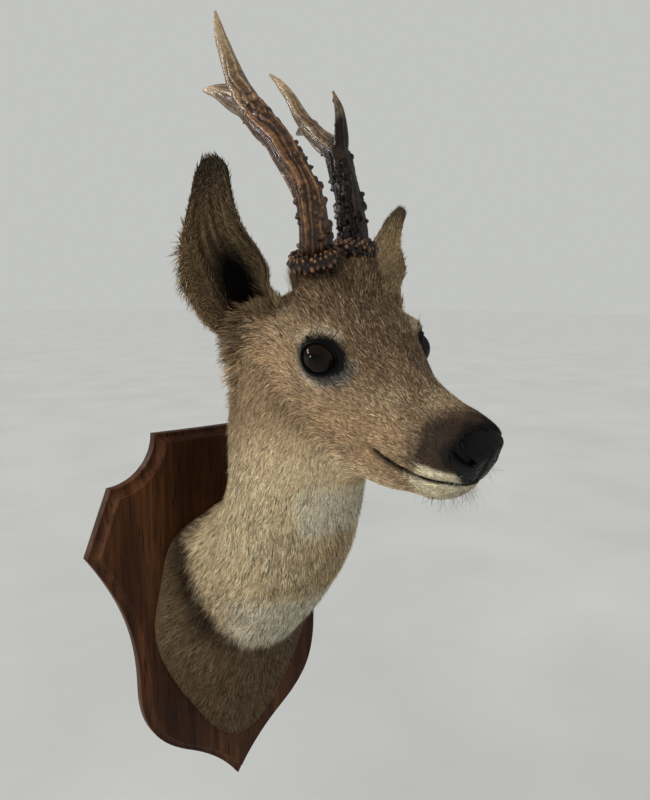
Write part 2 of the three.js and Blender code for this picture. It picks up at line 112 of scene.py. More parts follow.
def blended(a: Array, b: Array, radius: float) -> Array:
    """The lesser of two fields, rounded where they meet."""
    h = np.maximum(radius - np.abs(a - b), 0) / radius
    return np.minimum(a, b) - h * h * radius / 4


def along(rows: Array, at: Array) -> Array:
    """Smooth curves through rows of [at, value, value, ...], read at many places.

    Each span is a cubic whose end slopes are those of the straight line between the neighbours.

    Args:
        rows: One row per station, its place first.
        at: Places to read.

    Returns:
        The values, with one more axis than the places.
    """
    rows = np.asarray(rows, float)
    place, value = rows[:, 0], rows[:, 1:]
    last = len(rows) - 1
    low, high = np.maximum(np.arange(last + 1) - 1, 0), np.minimum(np.arange(last + 1) + 1, last)
    slopes = (value[high] - value[low]) / (place[high] - place[low])[:, None]
    v = np.clip(np.asarray(at, float), place[0], place[-1])
    k = np.clip(np.searchsorted(place, v) - 1, 0, last - 1)
    span = (place[k + 1] - place[k])[..., None]
    t = (v - place[k])[..., None] / span
    return hermite(value[k], value[k + 1] - value[k], slopes[k] * span, slopes[k + 1] * span, t)


def ripple(points: Array, size: float, seed: int) -> Array:
    """Soft noise of about -1 to 1: the mean of seven sine waves in seeded directions.

    Args:
        points: Points in millimetres.
        size: Wave length of the middle wave, in millimetres.
        seed: Which pattern.

    Returns:
        One value per point.
    """
    rng = np.random.default_rng(seed)
    waves = unit(rng.normal(size=(7, 3))) * (TAU / size) * rng.uniform(0.6, 1.7, (7, 1))
    return np.sin(points @ waves.T + rng.uniform(0, 6.3, 7)).sum(-1) / 3.2


def rod_distance(points: Array, foot: Place, head: Place, radius: float) -> Array:
    """Distance from points to a rounded rod.

    Args:
        points: The points.
        foot: One end of the rod's line.
        head: Its other end.
        radius: The rod's radius.

    Returns:
        One distance per point, below nought inside.
    """
    foot, axis = np.asarray(foot, float), np.asarray(head, float) - np.asarray(foot, float)
    rel = points - foot
    t = np.clip(rel @ axis / (axis @ axis), 0, 1)
    return np.linalg.norm(rel - t[..., None] * axis, axis=-1) - radius


def line_distance(points: Array, line: Array) -> Array:
    """Least distance from flat points to a line of straight pieces.

    Args:
        points: The points.
        line: The line's corners.

    Returns:
        One distance per point.
    """
    line = np.asarray(line, float)
    a, b = line[:-1], line[1:]
    rel = points[..., None, :] - a
    t = np.clip((rel * (b - a)).sum(-1) / ((b - a) ** 2).sum(-1), 0, 1)
    return np.linalg.norm(rel - t[..., None] * (b - a), axis=-1).min(-1)


@dataclass(frozen=True)
class Path:
    """A smooth curve through points, read by its share of the length.

    The knots lie the square root of the distance apart, and each span is a cubic through its ends.
    """

    points: Array
    steps: int = 400

    def table(self) -> tuple[Array, Array]:
        """Closely spaced points of the curve and the length up to each.

        Returns:
            Points, and lengths from the start.
        """
        p = np.asarray(self.points, float)
        p = np.vstack([2 * p[0] - p[1], p, 2 * p[-1] - p[-2]])
        gap = np.maximum(np.linalg.norm(np.diff(p, axis=0), axis=1) ** 0.5, 1e-4)[:, None]
        before, after = gap[:-1], gap[1:]
        step = np.diff(p, axis=0)
        slope = step[:-1] / before - (step[:-1] + step[1:]) / (before + after) + step[1:] / after
        t = np.linspace(0, len(p) - 3, self.steps + 1)
        k = np.minimum(t.astype(int), len(p) - 4)
        t = (t - k)[:, None]
        leave, arrive = slope[k] * gap[k + 1], slope[k + 1] * gap[k + 1]
        fine = hermite(p[k + 1], step[k + 1], leave, arrive, t)
        return fine, np.append(0, np.cumsum(np.linalg.norm(np.diff(fine, axis=0), axis=1)))

    def at(self, share: Array) -> Array:
        """Points at shares of the curve's length."""
        fine, length = self.table()
        return np.stack([np.interp(np.asarray(share) * length[-1], length, c) for c in fine.T], -1)

    def length(self) -> float:
        """The curve's length."""
        return float(self.table()[1][-1])

    def frames(self, share: Array, reference: Array) -> tuple[Array, Array, Array, Array]:
        """Points and square frames along the curve, kept level with a reference direction.

        Args:
            share: Shares of the length.
            reference: A direction that the curve never runs along.

        Returns:
            Middles, headings, sides and overs.
        """
        share = np.asarray(share, float)
        near = 0.004
        heading = unit(self.at(np.minimum(share + near, 1)) - self.at(np.maximum(share - near, 0)))
        side = square_to(reference, heading)
        return self.at(share), heading, side, np.cross(heading, side)


# ---- meshes from arrays
def grid_faces(rows: int, columns: int, wrap: bool, start: int = 0) -> Array:
    """Four-sided faces between the points of a grid, row by row.

    Args:
        rows: Number of rows of points.
        columns: Points in a row.
        wrap: Whether the last column joins the first.
        start: Index of the grid's first point.

    Returns:
        One row of four indices per face.
    """
    cells = columns if wrap else columns - 1
    i, j = np.meshgrid(np.arange(rows - 1), np.arange(cells), indexing="ij")
    a = start + i * columns + j
    b = start + i * columns + (j + 1) % columns
    return np.stack([a, b, b + columns, a + columns], -1).reshape(-1, 4)


def cap_faces(ring: Array, middle: int, flip: bool) -> Array:
    """Three-sided faces from a closed ring of indices to one middle point, turned over or not."""
    fan = np.stack([np.full(len(ring), middle), np.roll(ring, -1), ring], -1)
    return fan[:, ::-1] if flip else fan


def ball_angles(rings: int, segments: int, gap: float) -> tuple[Array, Array]:
    """The angles of a ball's grid.

    Args:
        rings: Rings from pole to pole.
        segments: Points in a ring.
        gap: Angle between a pole and the ring next to it.

    Returns:
        The angle from the first pole, and the angle round.
    """
    turns, rounds = np.linspace(gap, np.pi - gap, rings), np.arange(segments) / segments * TAU
    turn, round_ = np.meshgrid(turns, rounds, indexing="ij")
    return turn, round_


@dataclass
class Shape:
    """A mesh in the making: points in millimetres, faces, a map and named values per point."""

    points: Array
    quads: Array = field(default_factory=lambda: np.zeros((0, 4), int))
    triangles: Array = field(default_factory=lambda: np.zeros((0, 3), int))
    uv: Array | None = None
    values: dict[str, Array] = field(default_factory=dict)

    def joined(self, other: "Shape") -> "Shape":
        """This shape and another that carries the same values.

        Args:
            other: The shape that is added.

        Returns:
            Both in one.
        """
        shift = len(self.points)
        return Shape(
            np.vstack([self.points, other.points]),
            np.vstack([self.quads, other.quads + shift]),
            np.vstack([self.triangles, other.triangles + shift]),
            None if self.uv is None else np.vstack([self.uv, other.uv]),
            {name: np.concatenate([held, other.values[name]]) for name, held in self.values.items()},
        )


def tube(rings: Array, values: dict[str, Array] | None = None) -> Shape:
    """A closed tube of rings with its ends closed by their middles.

    Args:
        rings: Points as (rings, points in a ring, 3), each ring turning left about the way ahead.
        values: Named values, one per ring point.

    Returns:
        The shape, its faces outwards.
    """
    rows, columns = rings.shape[:2]
    count = rows * columns
    first, last = np.arange(columns), np.arange(columns) + count - columns
    points = np.vstack([rings.reshape(-1, 3), rings[0].mean(0), rings[-1].mean(0)])
    faces = np.vstack([cap_faces(first, count, False), cap_faces(last, count + 1, True)])
    u, v = np.meshgrid(np.arange(columns) / columns, np.linspace(0, 1, rows))
    uv = np.vstack([np.stack([u, v], -1).reshape(-1, 2), [0.5, 0], [0.5, 1]])
    held = {}
    for name, value in (values or {}).items():
        ends = value[[0, -1]].mean(1)
        held[name] = np.concatenate([value.reshape((count,) + value.shape[2:]), ends])
    return Shape(points, grid_faces(rows, columns, True), faces, uv, held)


def make_piece(
    name: str, shape: Shape, finish: Material, nodes: tuple[str, ...] = (), uv: str = "UVMap"
) -> Piece:
    """Puts a shape into the scene as one piece that rides on the mount.

    Args:
        name: The piece's name.
        shape: Its mesh, in millimetres.
        finish: Its finish.
        nodes: CAD nodes that it stands for.
        uv: Name of its map, where the shape has one.

    Returns:
        The object.
    """
    mesh = bpy.data.meshes.new(name)
    loops = np.concatenate([shape.quads.ravel(), shape.triangles.ravel()]).astype(np.int32)
    fours = len(shape.quads)
    starts = np.concatenate([np.arange(fours) * 4, fours * 4 + np.arange(len(shape.triangles)) * 3])
    mesh.vertices.add(len(shape.points))
    mesh.vertices.foreach_set("co", (shape.points * MM).astype(np.float32).ravel())
    mesh.loops.add(len(loops))
    mesh.loops.foreach_set("vertex_index", loops)
    mesh.polygons.add(len(starts))
    mesh.polygons.foreach_set("loop_start", starts.astype(np.int32))
    mesh.update(calc_edges=True)
    if shape.uv is not None:
        layer = mesh.uv_layers.new(name=uv)
        layer.data.foreach_set("uv", shape.uv[loops].astype(np.float32).ravel())
    for title, value in shape.values.items():
        if value.ndim == 2:
            store = mesh.attributes.new(title, "FLOAT_COLOR", "POINT")
            full = np.hstack([value, np.ones((len(value), 1))])
            store.data.foreach_set("color", full.astype(np.float32).ravel())
        else:
            store = mesh.attributes.new(title, "FLOAT", "POINT")
            store.data.foreach_set("value", value.astype(np.float32))
    mesh.shade_smooth()
    mesh.materials.append(finish)
    piece = bpy.data.objects.new(name, mesh)
    bpy.context.scene.collection.objects.link(piece)
    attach(piece, "root")
    if nodes:
        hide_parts(*nodes)
    LOG.info("%s: %d faces", name, len(starts))
    return piece


# ---- the head's own frame
@dataclass(frozen=True)
class HeadFrame:
    """Forward, left and up from the point between the eyes."""

    origin: Place = (-22, -201, 237)
    forward_way: Place = (-0.209, -0.952, -0.222)
    left_way: Place = (0.968, -0.234, 0.093)

    def axes(self) -> Array:
        """The three axes.

        Returns:
            Rows: forward, left, up.
        """
        forward = unit(self.forward_way)
        left = square_to(np.array(self.left_way), forward)
        return np.array([forward, left, np.cross(forward, left)])

    def out(self, points: Array) -> Array:
        """From the head's frame to the board's."""
        return np.asarray(points, float) @ self.axes() + self.origin

    def into(self, points: Array) -> Array:
        """From the board's frame to the head's."""
        return (np.asarray(points, float) - self.origin) @ self.axes().T

    def way(self, directions: Array) -> Array:
        """Directions in the head's frame as ones in the board's."""
        return np.asarray(directions, float) @ self.axes()


HEAD = HeadFrame()


# ---- eyes, shared by skin, lids and glass
class Side(Enum):
    """Which side of the deer a part is on: +1 is its left."""

    LEFT = 1
    RIGHT = -1


@dataclass(frozen=True)
class EyeOpening:
    """The almond between the lids, laid out in angles about the glass eye's middle."""

    forward: float = 4
    aside: float = 35
    above: float = 2
    tilt: float = 2
    radius: float = 13
    look: Place = (0.62, 0.74, 0.2)
    slope: float = -0.2
    half_width: float = 1.16
    half_height: float = 0.92
    # Powers of the rounded outlines: 2 is an oval and 1 a diamond.
    corner: float = 1.75
    bare_corner: float = 1.8
    # The bare patch seen straight on: its middle and half sizes, towards the nose and up.
    bare_middle: tuple[float, float] = (1.8, 0.4)
    bare_size: tuple[float, float] = (16.2, 11.9)

    def middle(self, side: Side) -> Array:
        """The eye's middle in the head's frame."""
        return np.array([self.forward, side.value * self.aside, self.above - side.value * self.tilt])

    def axes(self, side: Side) -> Array:
        """The eye's own axes.

        Args:
            side: Which eye.

        Returns:
            Rows: out of the eye, along the slit towards the nose, and across it upwards.
        """
        mirror = np.array([1, side.value, 1])
        look = unit(self.look * mirror)
        front = square_to(np.array([1, -0.9, self.slope]) * mirror, look)
        over = np.cross(look, front)
        return np.array([look, front, over * (1 if over[2] > 0 else -1)])

    def measure(self, head_points: Array, side: Side) -> tuple[Array, Array, Array, Array]:
        """How points lie to the almond.

        Args:
            head_points: Points in the head's frame.
            side: Which eye.

        Returns:
            Distance from the eye's middle, the almond's measure (1 on its edge), and the two angles
            as shares of the half width and half height.
        """
        rel = head_points - self.middle(side)
        distance = np.linalg.norm(rel, axis=-1)
        local = rel @ self.axes(side).T / np.maximum(distance, 1e-6)[..., None]
        turn = np.arccos(np.clip(local[..., 0], -1, 1))
        scale = turn / np.maximum(np.sin(turn), 1e-4)
        a = local[..., 1] * scale / self.half_width
        b = local[..., 2] * scale / self.half_height
        q = (np.abs(a) ** self.corner + np.abs(b) ** self.corner) ** (1 / self.corner)
        return distance, q, a, b

    def patch(self, head_points: Array, side: Side) -> tuple[Array, Array, Array]:
        """How points lie to the bare skin round the eye, seen straight into it.

        Args:
            head_points: Points in the head's frame.
            side: Which eye.

        Returns:
            The bare patch's measure (1 on its edge), and millimetres towards the nose and up.
        """
        local = (head_points - self.middle(side)) @ self.axes(side).T
        away, a, b = np.moveaxis(local, -1, 0)
        rel = (local[..., 1:] - self.bare_middle) / self.bare_size
        e = (np.abs(rel) ** self.bare_corner).sum(-1) ** (1 / self.bare_corner)
        return np.where(away > -4, e, 9), a, b

    def edge(self, share: Array, swell: float, radius: float, side: Side) -> Array:
        """Points round the almond, at a measure and a distance from the eye's middle.

        Args:
            share: Shares of the way round, from the front corner over the top.
            swell: The almond's measure.
            radius: Distance from the eye's middle.
            side: Which eye.

        Returns:
            Points in the head's frame.
        """
        turn = TAU * np.asarray(share)
        power = 2 / self.corner
        a = np.sign(np.cos(turn)) * np.abs(np.cos(turn)) ** power * swell * self.half_width
        b = np.sign(np.sin(turn)) * np.abs(np.sin(turn)) ** power * swell * self.half_height
        angle = np.maximum(np.hypot(a, b), 1e-6)
        local = np.stack([np.cos(angle), a / angle * np.sin(angle), b / angle * np.sin(angle)], -1)
        return self.middle(side) + radius * local @ self.axes(side)


EYE = EyeOpening()


@dataclass(frozen=True)
class NoseArea:
    """The bare front of the muzzle: all of it that a ball encloses."""

    middle: Place = (128, 0, -20)
    size: Place = (22, 23, 19)

    def measure(self, head_points: Array) -> Array:
        """How far out points lie: 1 on the ball, give or take a slow ripple."""
        out = np.linalg.norm((head_points - self.middle) / self.size, axis=-1)
        return out * (1 + 0.035 * ripple(head_points, 9, 71))


NOSE = NoseArea()


# ---- flesh
@dataclass(frozen=True)
class Flesh:
    """The deer's form as a field, below nought inside, out to the tips of its coat."""

    # Forward, top, underside, half width, level of the widest place, narrowing below, fullness above.
    head: tuple = (
        (-88, 12, -70, 42, -20, 0.20, 2.2), (-60, 28, -92, 48, -16, 0.30, 2.2),
        (-30, 36, -98, 49, -6, 0.42, 2.3), (0, 30, -96, 46, 0, 0.52, 2.2),
        (22, 22, -89, 38, -6, 0.50, 1.7), (45, 13, -82, 31, -16, 0.42, 1.35),
        (70, 5, -71, 25, -24, 0.30, 1.5), (95, 0, -64, 21, -26, 0.26, 1.9),
        (112, -3, -57, 19, -24, 0.30, 2.1), (133, -8, -48, 16.5, -24, 0.34, 2.1),
    )
    fullness_below: float = 2.3
    # Where the back of the skull starts to round off, and over what length; the same for the muzzle
    # with its power, how far its front leans back under the nose, and where it is cut flat.
    skull_end: tuple[float, float] = (-62, 36)
    muzzle_end: Place = (102, 27, 2.6)
    muzzle_lean: float = 0.42
    muzzle_front: float = 128.5
    # Rounded rods under the antlers and the ears: two ends and a radius, mirrored left to right.
    stems: tuple = (((-30, 14, 20), (-43, 18.5, 45), 15.5), ((-60, 34, 0), (-66, 46, 6), 17))
    # Place in the head's frame, size, height; each is mirrored left to right.
    swellings: tuple = (
        ((6, 43, 18), (17, 9, 8), 5), ((5, 48, 2), (19, 12, 9.5), -6.5),
        ((26, 36, -7), (9, 8, 6), -2), ((-28, 46, -42), (30, 18, 28), 4),
        ((14, 40, -22), (24, 12, 10), 3), ((116, 12, -13), (9, 8, 8), 2.5),
        ((94, 17, -40), (18, 9, 8), 2), ((70, 16, -3), (26, 7, 7), 1),
        ((-42, 0, 42), (15, 15, 14), 9),
    )
    # Turn about the nape's bend, inner radius, outer radius, half width, sideways shift.
    neck: tuple = (
        (2, 92, 312, 30, 0), (6, 90, 280, 52, 0), (12, 87, 243, 62, 0),
        (20, 80, 217, 65, 0), (30, 74, 202, 64, -1), (46, 68, 186, 62, -3),
        (62, 63, 178, 59, -6), (80, 60, 176, 59, -10), (100, 68, 180, 61, -13),
        (116, 94, 190, 58, -14), (128, 138, 200, 52, -14),
    )
    neck_bend: float = 170
    neck_end: tuple[float, float] = (104, 26)
    # The shoulders' ellipsoid: half width, depth and half height, and the level of its middle.
    shoulder_size: Place = (92, 34, 112)
    shoulder_level: float = -27
    shoulder_mean: float = 51
    board_face: float = -16
    # How widely forms run into each other: stems into the skull, shoulders and head into the neck.
    stem_blend: float = 22
    shoulder_blend: float = 22
    head_blend: float = 26

    def head_field(self, points: Array) -> Array:
        """The head's field.

        q = (across to the power n + up to the power n) to the power 1 / n, shrunk towards both ends.

        Args:
            points: Points in the head's frame.

        Returns:
            One value per point.
        """
        mirrored = folded(points)
        x, y, z = np.moveaxis(mirrored, -1, 0)
        top, under, half, widest, taper, roof = np.moveaxis(along(self.head, x), -1, 0)
        above = z > widest
        t = np.where(above, (z - widest) / (top - widest), (widest - z) / (widest - under))
        width = np.where(above, half, half * (1 - taper * np.minimum(t, 1.2)))
        fullness = np.where(above, roof, self.fullness_below)
        q = ((y / width) ** fullness + np.maximum(t, 0) ** fullness) ** (1 / fullness)
        ahead = x - self.muzzle_lean * np.minimum(0, z + 15)
        start, span, power = self.muzzle_end
        back = np.clip((self.skull_end[0] - x) / self.skull_end[1], 0, 0.995)
        front = np.clip((ahead - start) / span, 0, 0.995)
        f = (q / (np.sqrt(1 - back**2) * (1 - front**power) ** (1 / power)) - 1) * half
        f = np.maximum(f, ahead - self.muzzle_front)
        for foot, head, radius in self.stems:
            f = blended(f, rod_distance(mirrored, foot, head, radius), self.stem_blend)
        for at, size, height in self.swellings:
            f = f - height * hill(mirrored, at, size)
        return f

    def neck_field(self, points: Array) -> Array:
        """The neck's field: an oval carried round the bend of the nape.

        Args:
            points: Points in the board's frame.

        Returns:
            One value per point.
        """
        out, drop = -points[..., 1], self.neck_bend - points[..., 2]
        turn = np.degrees(np.arctan2(out, drop))
        inner, outer, half, shift = np.moveaxis(along(self.neck, turn), -1, 0)
        middle, depth = (inner + outer) / 2, (outer - inner) / 2
        q = np.hypot((points[..., 0] - shift) / half, (np.hypot(out, drop) - middle) / depth)
        end = np.clip((turn - self.neck_end[0]) / self.neck_end[1], 0, 0.995)
        return (q / np.sqrt(1 - end**2) - 1) * np.minimum(half, depth)

    def shoulder_field(self, points: Array) -> Array:
        """The shoulders' field: a low ellipsoid on the board that narrows downwards.

        Args:
            points: Points in the board's frame.

        Returns:
            One value per point.
        """
        x, y, z = np.moveaxis(points, -1, 0)
        wide, deep, high = self.shoulder_size
        half = wide * (1 - 0.3 * ease(0, 1.2 * high, 3 - z))
        level = (z - self.shoulder_level) / high
        q = np.sqrt((x / half) ** 2 + level**2 + ((y - self.board_face) / deep) ** 2)
        return (q - 1) * self.shoulder_mean

    def whole(self, points: Array) -> Array:
        """The whole deer's field, out to the coat's tips."""
        body = blended(self.neck_field(points), self.shoulder_field(points), self.shoulder_blend)
        return blended(body, self.head_field(HEAD.into(points)), self.head_blend)


@dataclass(frozen=True)
class FaceDetail:
    """Folds and openings cut into the skin of the face, all in the head's frame."""

    # The mouth seen from the side: forward and up.
    mouth: tuple = (
        (44, -43), (52, -44), (60, -46), (72, -46.5),
        (86, -44.5), (98, -42), (110, -39.5), (124, -37.5),
    )
    lid_thickness: float = 1.0
    nose_hollow: float = 4.5

    def off_mouth(self, p: Array) -> Array:
        """Distance from the mouth's line, seen from the side."""
        return line_distance(p[..., [0, 2]], self.mouth)

    def carve(self, f: Array, points: Array) -> Array:
        """The field with lids, sockets, lips and folds worked in.

        Args:
            f: The skin's field.
            points: Points in the head's frame.

        Returns:
            The new field.
        """
        near = (points[..., 0] > -45) & (points[..., 2] < 60)
        g, p = f[near], points[near]
        for side in Side:
            g = self.eye(g, p, side)
        g = g + self.lips(p) + self.nose_hollow * ease(0.96, 0.84, NOSE.measure(p))
        result = f.copy()
        result[near] = g
        return result

    def eye(self, f: Array, p: Array, side: Side) -> Array:
        """One eye's lids, hugging the glass, and the short opening between them.

        Args:
            f: The skin's field.
            p: Points in the head's frame.
            side: Which eye.

        Returns:
            The new field.
        """
        distance, q, _, _ = EYE.measure(p, side)
        lids = np.maximum(distance - EYE.radius - self.lid_thickness, (q - 1.45) * 9)
        f = blended(f, lids, 5)
        opening = np.maximum((q - 1.0) * 10, np.abs(distance - EYE.radius - 3) - 6.5)
        return np.maximum(f, -opening)

    def lips(self, p: Array) -> Array:
        """The mouth's groove, deepest at its corner, and the fuller lips beside it.

        Args:
            p: Points in the head's frame.

        Returns:
            What it adds to the skin's field.
        """
        x, off = p[..., 0], self.off_mouth(p)
        deep = mix(4.2, 1.6, ease(70, 112, x))
        wide = mix(2.0, 1.3, ease(70, 110, x))
        return ease(42, 50, x) * (deep * bump(off, wide) - 0.9 * bump(off - 5, 2.6))


FACE = FaceDetail()


# ---- coat colours and lie
@dataclass(frozen=True)
class Markings:
    """Where the coat is light and dark. The skin and every tuft take their colour from here."""

    ochre: Colour = (0.425, 0.29, 0.163)
    grey: Colour = (0.34, 0.242, 0.145)
    pale: Colour = (1.0, 0.775, 0.485)
    forehead: Colour = (0.125, 0.078, 0.044)
    bridge: Colour = (0.155, 0.107, 0.064)
    # Dark shoulder fur, deepened to stand in for painted shade below the neck.
    shoulder: Colour = (0.155, 0.102, 0.056)
    throat: Colour = (0.95, 0.86, 0.64)
    # Painted shade: near black, for the deep shade in the valley between neck and shoulders.
    valley_shade: Colour = (0.012, 0.007, 0.004)
    brow: Colour = (0.60, 0.53, 0.40)
    rim: Colour = (0.010, 0.010, 0.011)
    halo: Colour = (0.085, 0.082, 0.075)
    muzzle: Colour = (0.030, 0.021, 0.017)
    lip: Colour = (0.74, 0.66, 0.46)
    mouth: Colour = (0.010, 0.008, 0.007)
    # Grizzled spots of the bridge, mirrored left to right: places and how pale they are.
    grizzle: tuple = (((92, 6, 0), 0.14), ((63, 18, -5), 0.08))
    # The dark shoulders' edge: heights, and how far it stands out from the wall there.
    edge_levels: tuple[float, ...] = (-64, -46, -20, 7, 35, 60, 95)
    edge_depths: tuple[float, ...] = (120, 78, 64, 56, 38, 30, 16)

    def colours(self, points: Array) -> Array:
        """The coat's colour at points of the board's frame.

        Args:
            points: Points in millimetres.

        Returns:
            One linear colour per point.
        """
        p = HEAD.into(points)
        rough, fine = ripple(points, 14, 5), ripple(points, 4.5, 9)
        drift = ripple(points, 46, 3)[..., None]
        c = mix(self.grey, self.ochre, 0.6 + 0.4 * drift)

        def paint(colour: Colour, share: Array) -> None:
            """Mixes a colour in by its share."""
            nonlocal c
            c = mix(c, colour, np.clip(share, 0, 1)[..., None])

        self.paint_body(paint, points, p)
        self.paint_head(paint, folded(p), rough)
        for side in Side:
            self.paint_eye(paint, p, side)
        self.paint_muzzle(paint, folded(p), rough, fine)
        return c

    def paint_body(self, paint: Paint, points: Array, p: Array) -> None:
        """Pale neck sides and throat patches; dark shoulders, chest and nape, with painted shade on the
        shoulders and in the valley below the neck.

        Args:
            paint: Mixes a colour in.
            points: Points in the board's frame.
            p: The same points in the head's frame.
        """
        side, wall, height = points[..., 0], points[..., 1], points[..., 2]
        rough = ripple(points, 22, 11)
        # The neck's pale sides, and its back close to the wall.
        low = p[..., 2] - 0.5 * np.clip(p[..., 0] + 40, -60, 0) + 20 * ease(-25, 20, p[..., 0])
        neck = ease(-35, -75, low)
        band = bump((height - 90 + 0.5 * (wall + 90)) / 86, 1)
        paint(self.pale, 0.9 * neck * band * ease(4, 34, np.abs(side)))
        paint(self.pale, 0.42 * neck * ease(-70, -95, wall) * ease(175, 130, height))
        # The nape.
        paint(self.forehead, 0.6 * ease(-20, -80, p[..., 0]) * ease(10, 40, p[..., 2]))
        paint(self.forehead, 0.45 * ease(-95, -60, wall) * ease(95, 130, height))
        # The two throat patches, the upper one narrow and the lower one broad.
        middle = ease(46, 26, np.abs(side + 6) + 4 * rough) * ease(-140, -156, wall)
        paint(self.throat, 0.9 * middle * ease(94, 106, height) * ease(146, 130, height))
        broad = ease(64, 30, np.abs(side + 4) + 5 * rough) * ease(-56, -74, wall)
        paint(self.throat, 0.9 * broad * ease(-52, -34, height) * ease(46, 22, height))
        # The dark shoulders, partly dark fur and partly painted shade, with the painted shade darkest in
        # the valley below the neck.
        edge = -wall - np.interp(height, self.edge_levels, self.edge_depths) + 3 * rough
        edge = edge - 16 * ease(58, 78, np.abs(side)) * bump((height - 62) / 40, 1)
        dark = ease(11, -9, edge + 2.5 * ripple(points, 7, 12))
        paint(self.shoulder, 0.96 * dark)
        valley_shade = bump(np.minimum(edge + 7, 0), 16) * ease(-50, -5, height) * ease(110, 80, height)
        paint(self.valley_shade, 0.85 * dark * valley_shade)

    def paint_head(self, paint: Paint, p: Array, rough: Array) -> None:
        """The dark forehead that runs down to the bridge, the greyer bridge, painted shade round the ears'
        feet, and the cheeks.

        Args:
            paint: Mixes a colour in.
            p: Points in the head's frame, its halves laid over each other.
            rough: A ripple that frays the edges.
        """
        x, y, z = np.moveaxis(p, -1, 0)
        front = ease(8, 20, x) * ease(108, 96, x + 4 * rough)
        paint(self.bridge, 0.9 * front * ease(-30, -6, z + 3 * rough))
        # The forehead, down to a line that falls off to the sides.
        roof = z + 0.5 * np.clip(x - 20, 0, 90) - 0.45 * y + 3 * rough + 5 * ease(5, 20, x)
        front = ease(-75, -45, x) * ease(84, 50, x + 6 * rough)
        paint(self.forehead, 0.92 * front * ease(2, 14, roof))
        for at, share in self.grizzle:
            off = np.linalg.norm((p - np.array(at)) / np.array([9, 7, 8]), axis=-1)
            paint(self.pale, share * bump(off + 0.35 * rough, 1))
        # Painted shade round the ears' feet, in the forehead's dark brown; the end of the bridge and the
        # cheeks.
        foot = np.hypot(np.hypot(x + 60, y - 60), z - 12)
        paint(self.forehead, 0.75 * bump(foot + 2 * rough, 15))
        end = ease(92, 105, x + 3 * rough + 3 * ripple(p, 4, 10))
        paint(self.forehead, 0.9 * end * ease(-16, -6, z))
        paint(self.ochre, 0.6 * bump(np.hypot(x - 40, (z + 36) * 1.2), 34))

    def paint_eye(self, paint: Paint, p: Array, side: Side) -> None:
        """The bare black ring and tear duct of one eye, with pale hair above and below.

        Args:
            paint: Mixes a colour in.
            p: Points in the head's frame.
            side: Which eye.
        """
        e, a, b = EYE.patch(p, side)
        e = e + 0.04 * ripple(p, 5, 8)
        above = ease(1.08, 1.2, e) * ease(1.7, 1.45, e) * ease(0, 6, b)
        paint(self.brow, 0.45 * above * ease(17, 8, a))
        below = ease(1.3, 1.5, e) * ease(2.1, 1.7, e) * ease(2, -4, b)
        paint(self.brow, 0.5 * below * ease(14, 4, a))
        paint(self.halo, 0.9 * ease(1.75, 1.3, e - 0.15 * ease(0, 10, a)) * ease(6, 0, b))
        paint(self.halo, np.where(e < 8, bump(np.hypot((a - 20) / 5.5, (b + 5.5) / 3.6), 1), 0))
        paint(self.rim, ease(1.2, 1.04, e - 0.03 * ease(-2, 6, b)))

    def paint_muzzle(self, paint: Paint, p: Array, rough: Array, fine: Array) -> None:
        """The dark muzzle band, the nose's black edge, the pale lips and chin, and the mouth.

        Args:
            paint: Mixes a colour in.
            p: Points in the head's frame, its halves laid over each other.
            rough: A ripple that frays the edges.
            fine: A finer one.
        """
        x, _, z = np.moveaxis(p, -1, 0)
        band = ease(76, 93, x - 0.5 * (z + 27) + 3 * rough + 4 * fine)
        band = band * ease(-44, -35, z) * ease(5, -7, z - 0.2 * (x - 96) + 2 * rough)
        paint(self.muzzle, 0.92 * band)
        edge = ease(1.28, 1.02, NOSE.measure(p) + 0.05 * rough)
        paint(self.rim, 0.8 * edge * ease(-30, -26, z))
        paint(self.lip, 0.97 * ease(88, 98, x) * ease(-31, -34, z - 0.1 * (x - 104)))
        chin = ease(-43, -46, z - 0.25 * (x - 90))
        paint(self.lip, 0.97 * ease(76, 86, x + 2 * rough) * chin)
        paint(self.rim, ease(115, 118, x + 0.6 * rough) * ease(-38, -36, z) * ease(-8, -16, z))
        line = bump(FACE.off_mouth(p), mix(3.3, 1.5, ease(60, 108, x)))
        paint(self.mouth, 1.3 * line * ease(44, 50, x) * ease(128, 118, x))


@dataclass(frozen=True)
class Coat:
    """How deep and how long the coat is from place to place."""

    face_depth: float = 0.5
    cheek_depth: float = 1.7
    neck_depth: float = 3.0

    def depth(self, points: Array) -> Array:
        """Depth of the coat: least on the muzzle and round the eyes, most on the neck.

        Args:
            points: Points in the board's frame.

        Returns:
            Millimetres, one per point.
        """
        p = HEAD.into(points)
        away = ease(60, -40, p[..., 0]) + ease(-60, -120, p[..., 2])
        d = mix(self.face_depth, self.cheek_depth, np.clip(away, 0, 1))
        d = mix(d, self.neck_depth, ease(-40, -100, p[..., 0] + 0.9 * (p[..., 2] + 60)))
        for side in Side:
            d = d * (1 - 0.55 * bump(np.linalg.norm(p - EYE.middle(side), axis=-1), 24))
        return d * ease(-17, -30, points[..., 1]) + 0.6

    def length(self, points: Array) -> Array:
        """Length of a tuft: 1.5 mm and twice the coat's depth, half as long round the nose."""
        bare = ease(2.0, 1.15, NOSE.measure(HEAD.into(points)))
        return (1.5 + 2.0 * self.depth(points)) * (1 - 0.5 * bare)


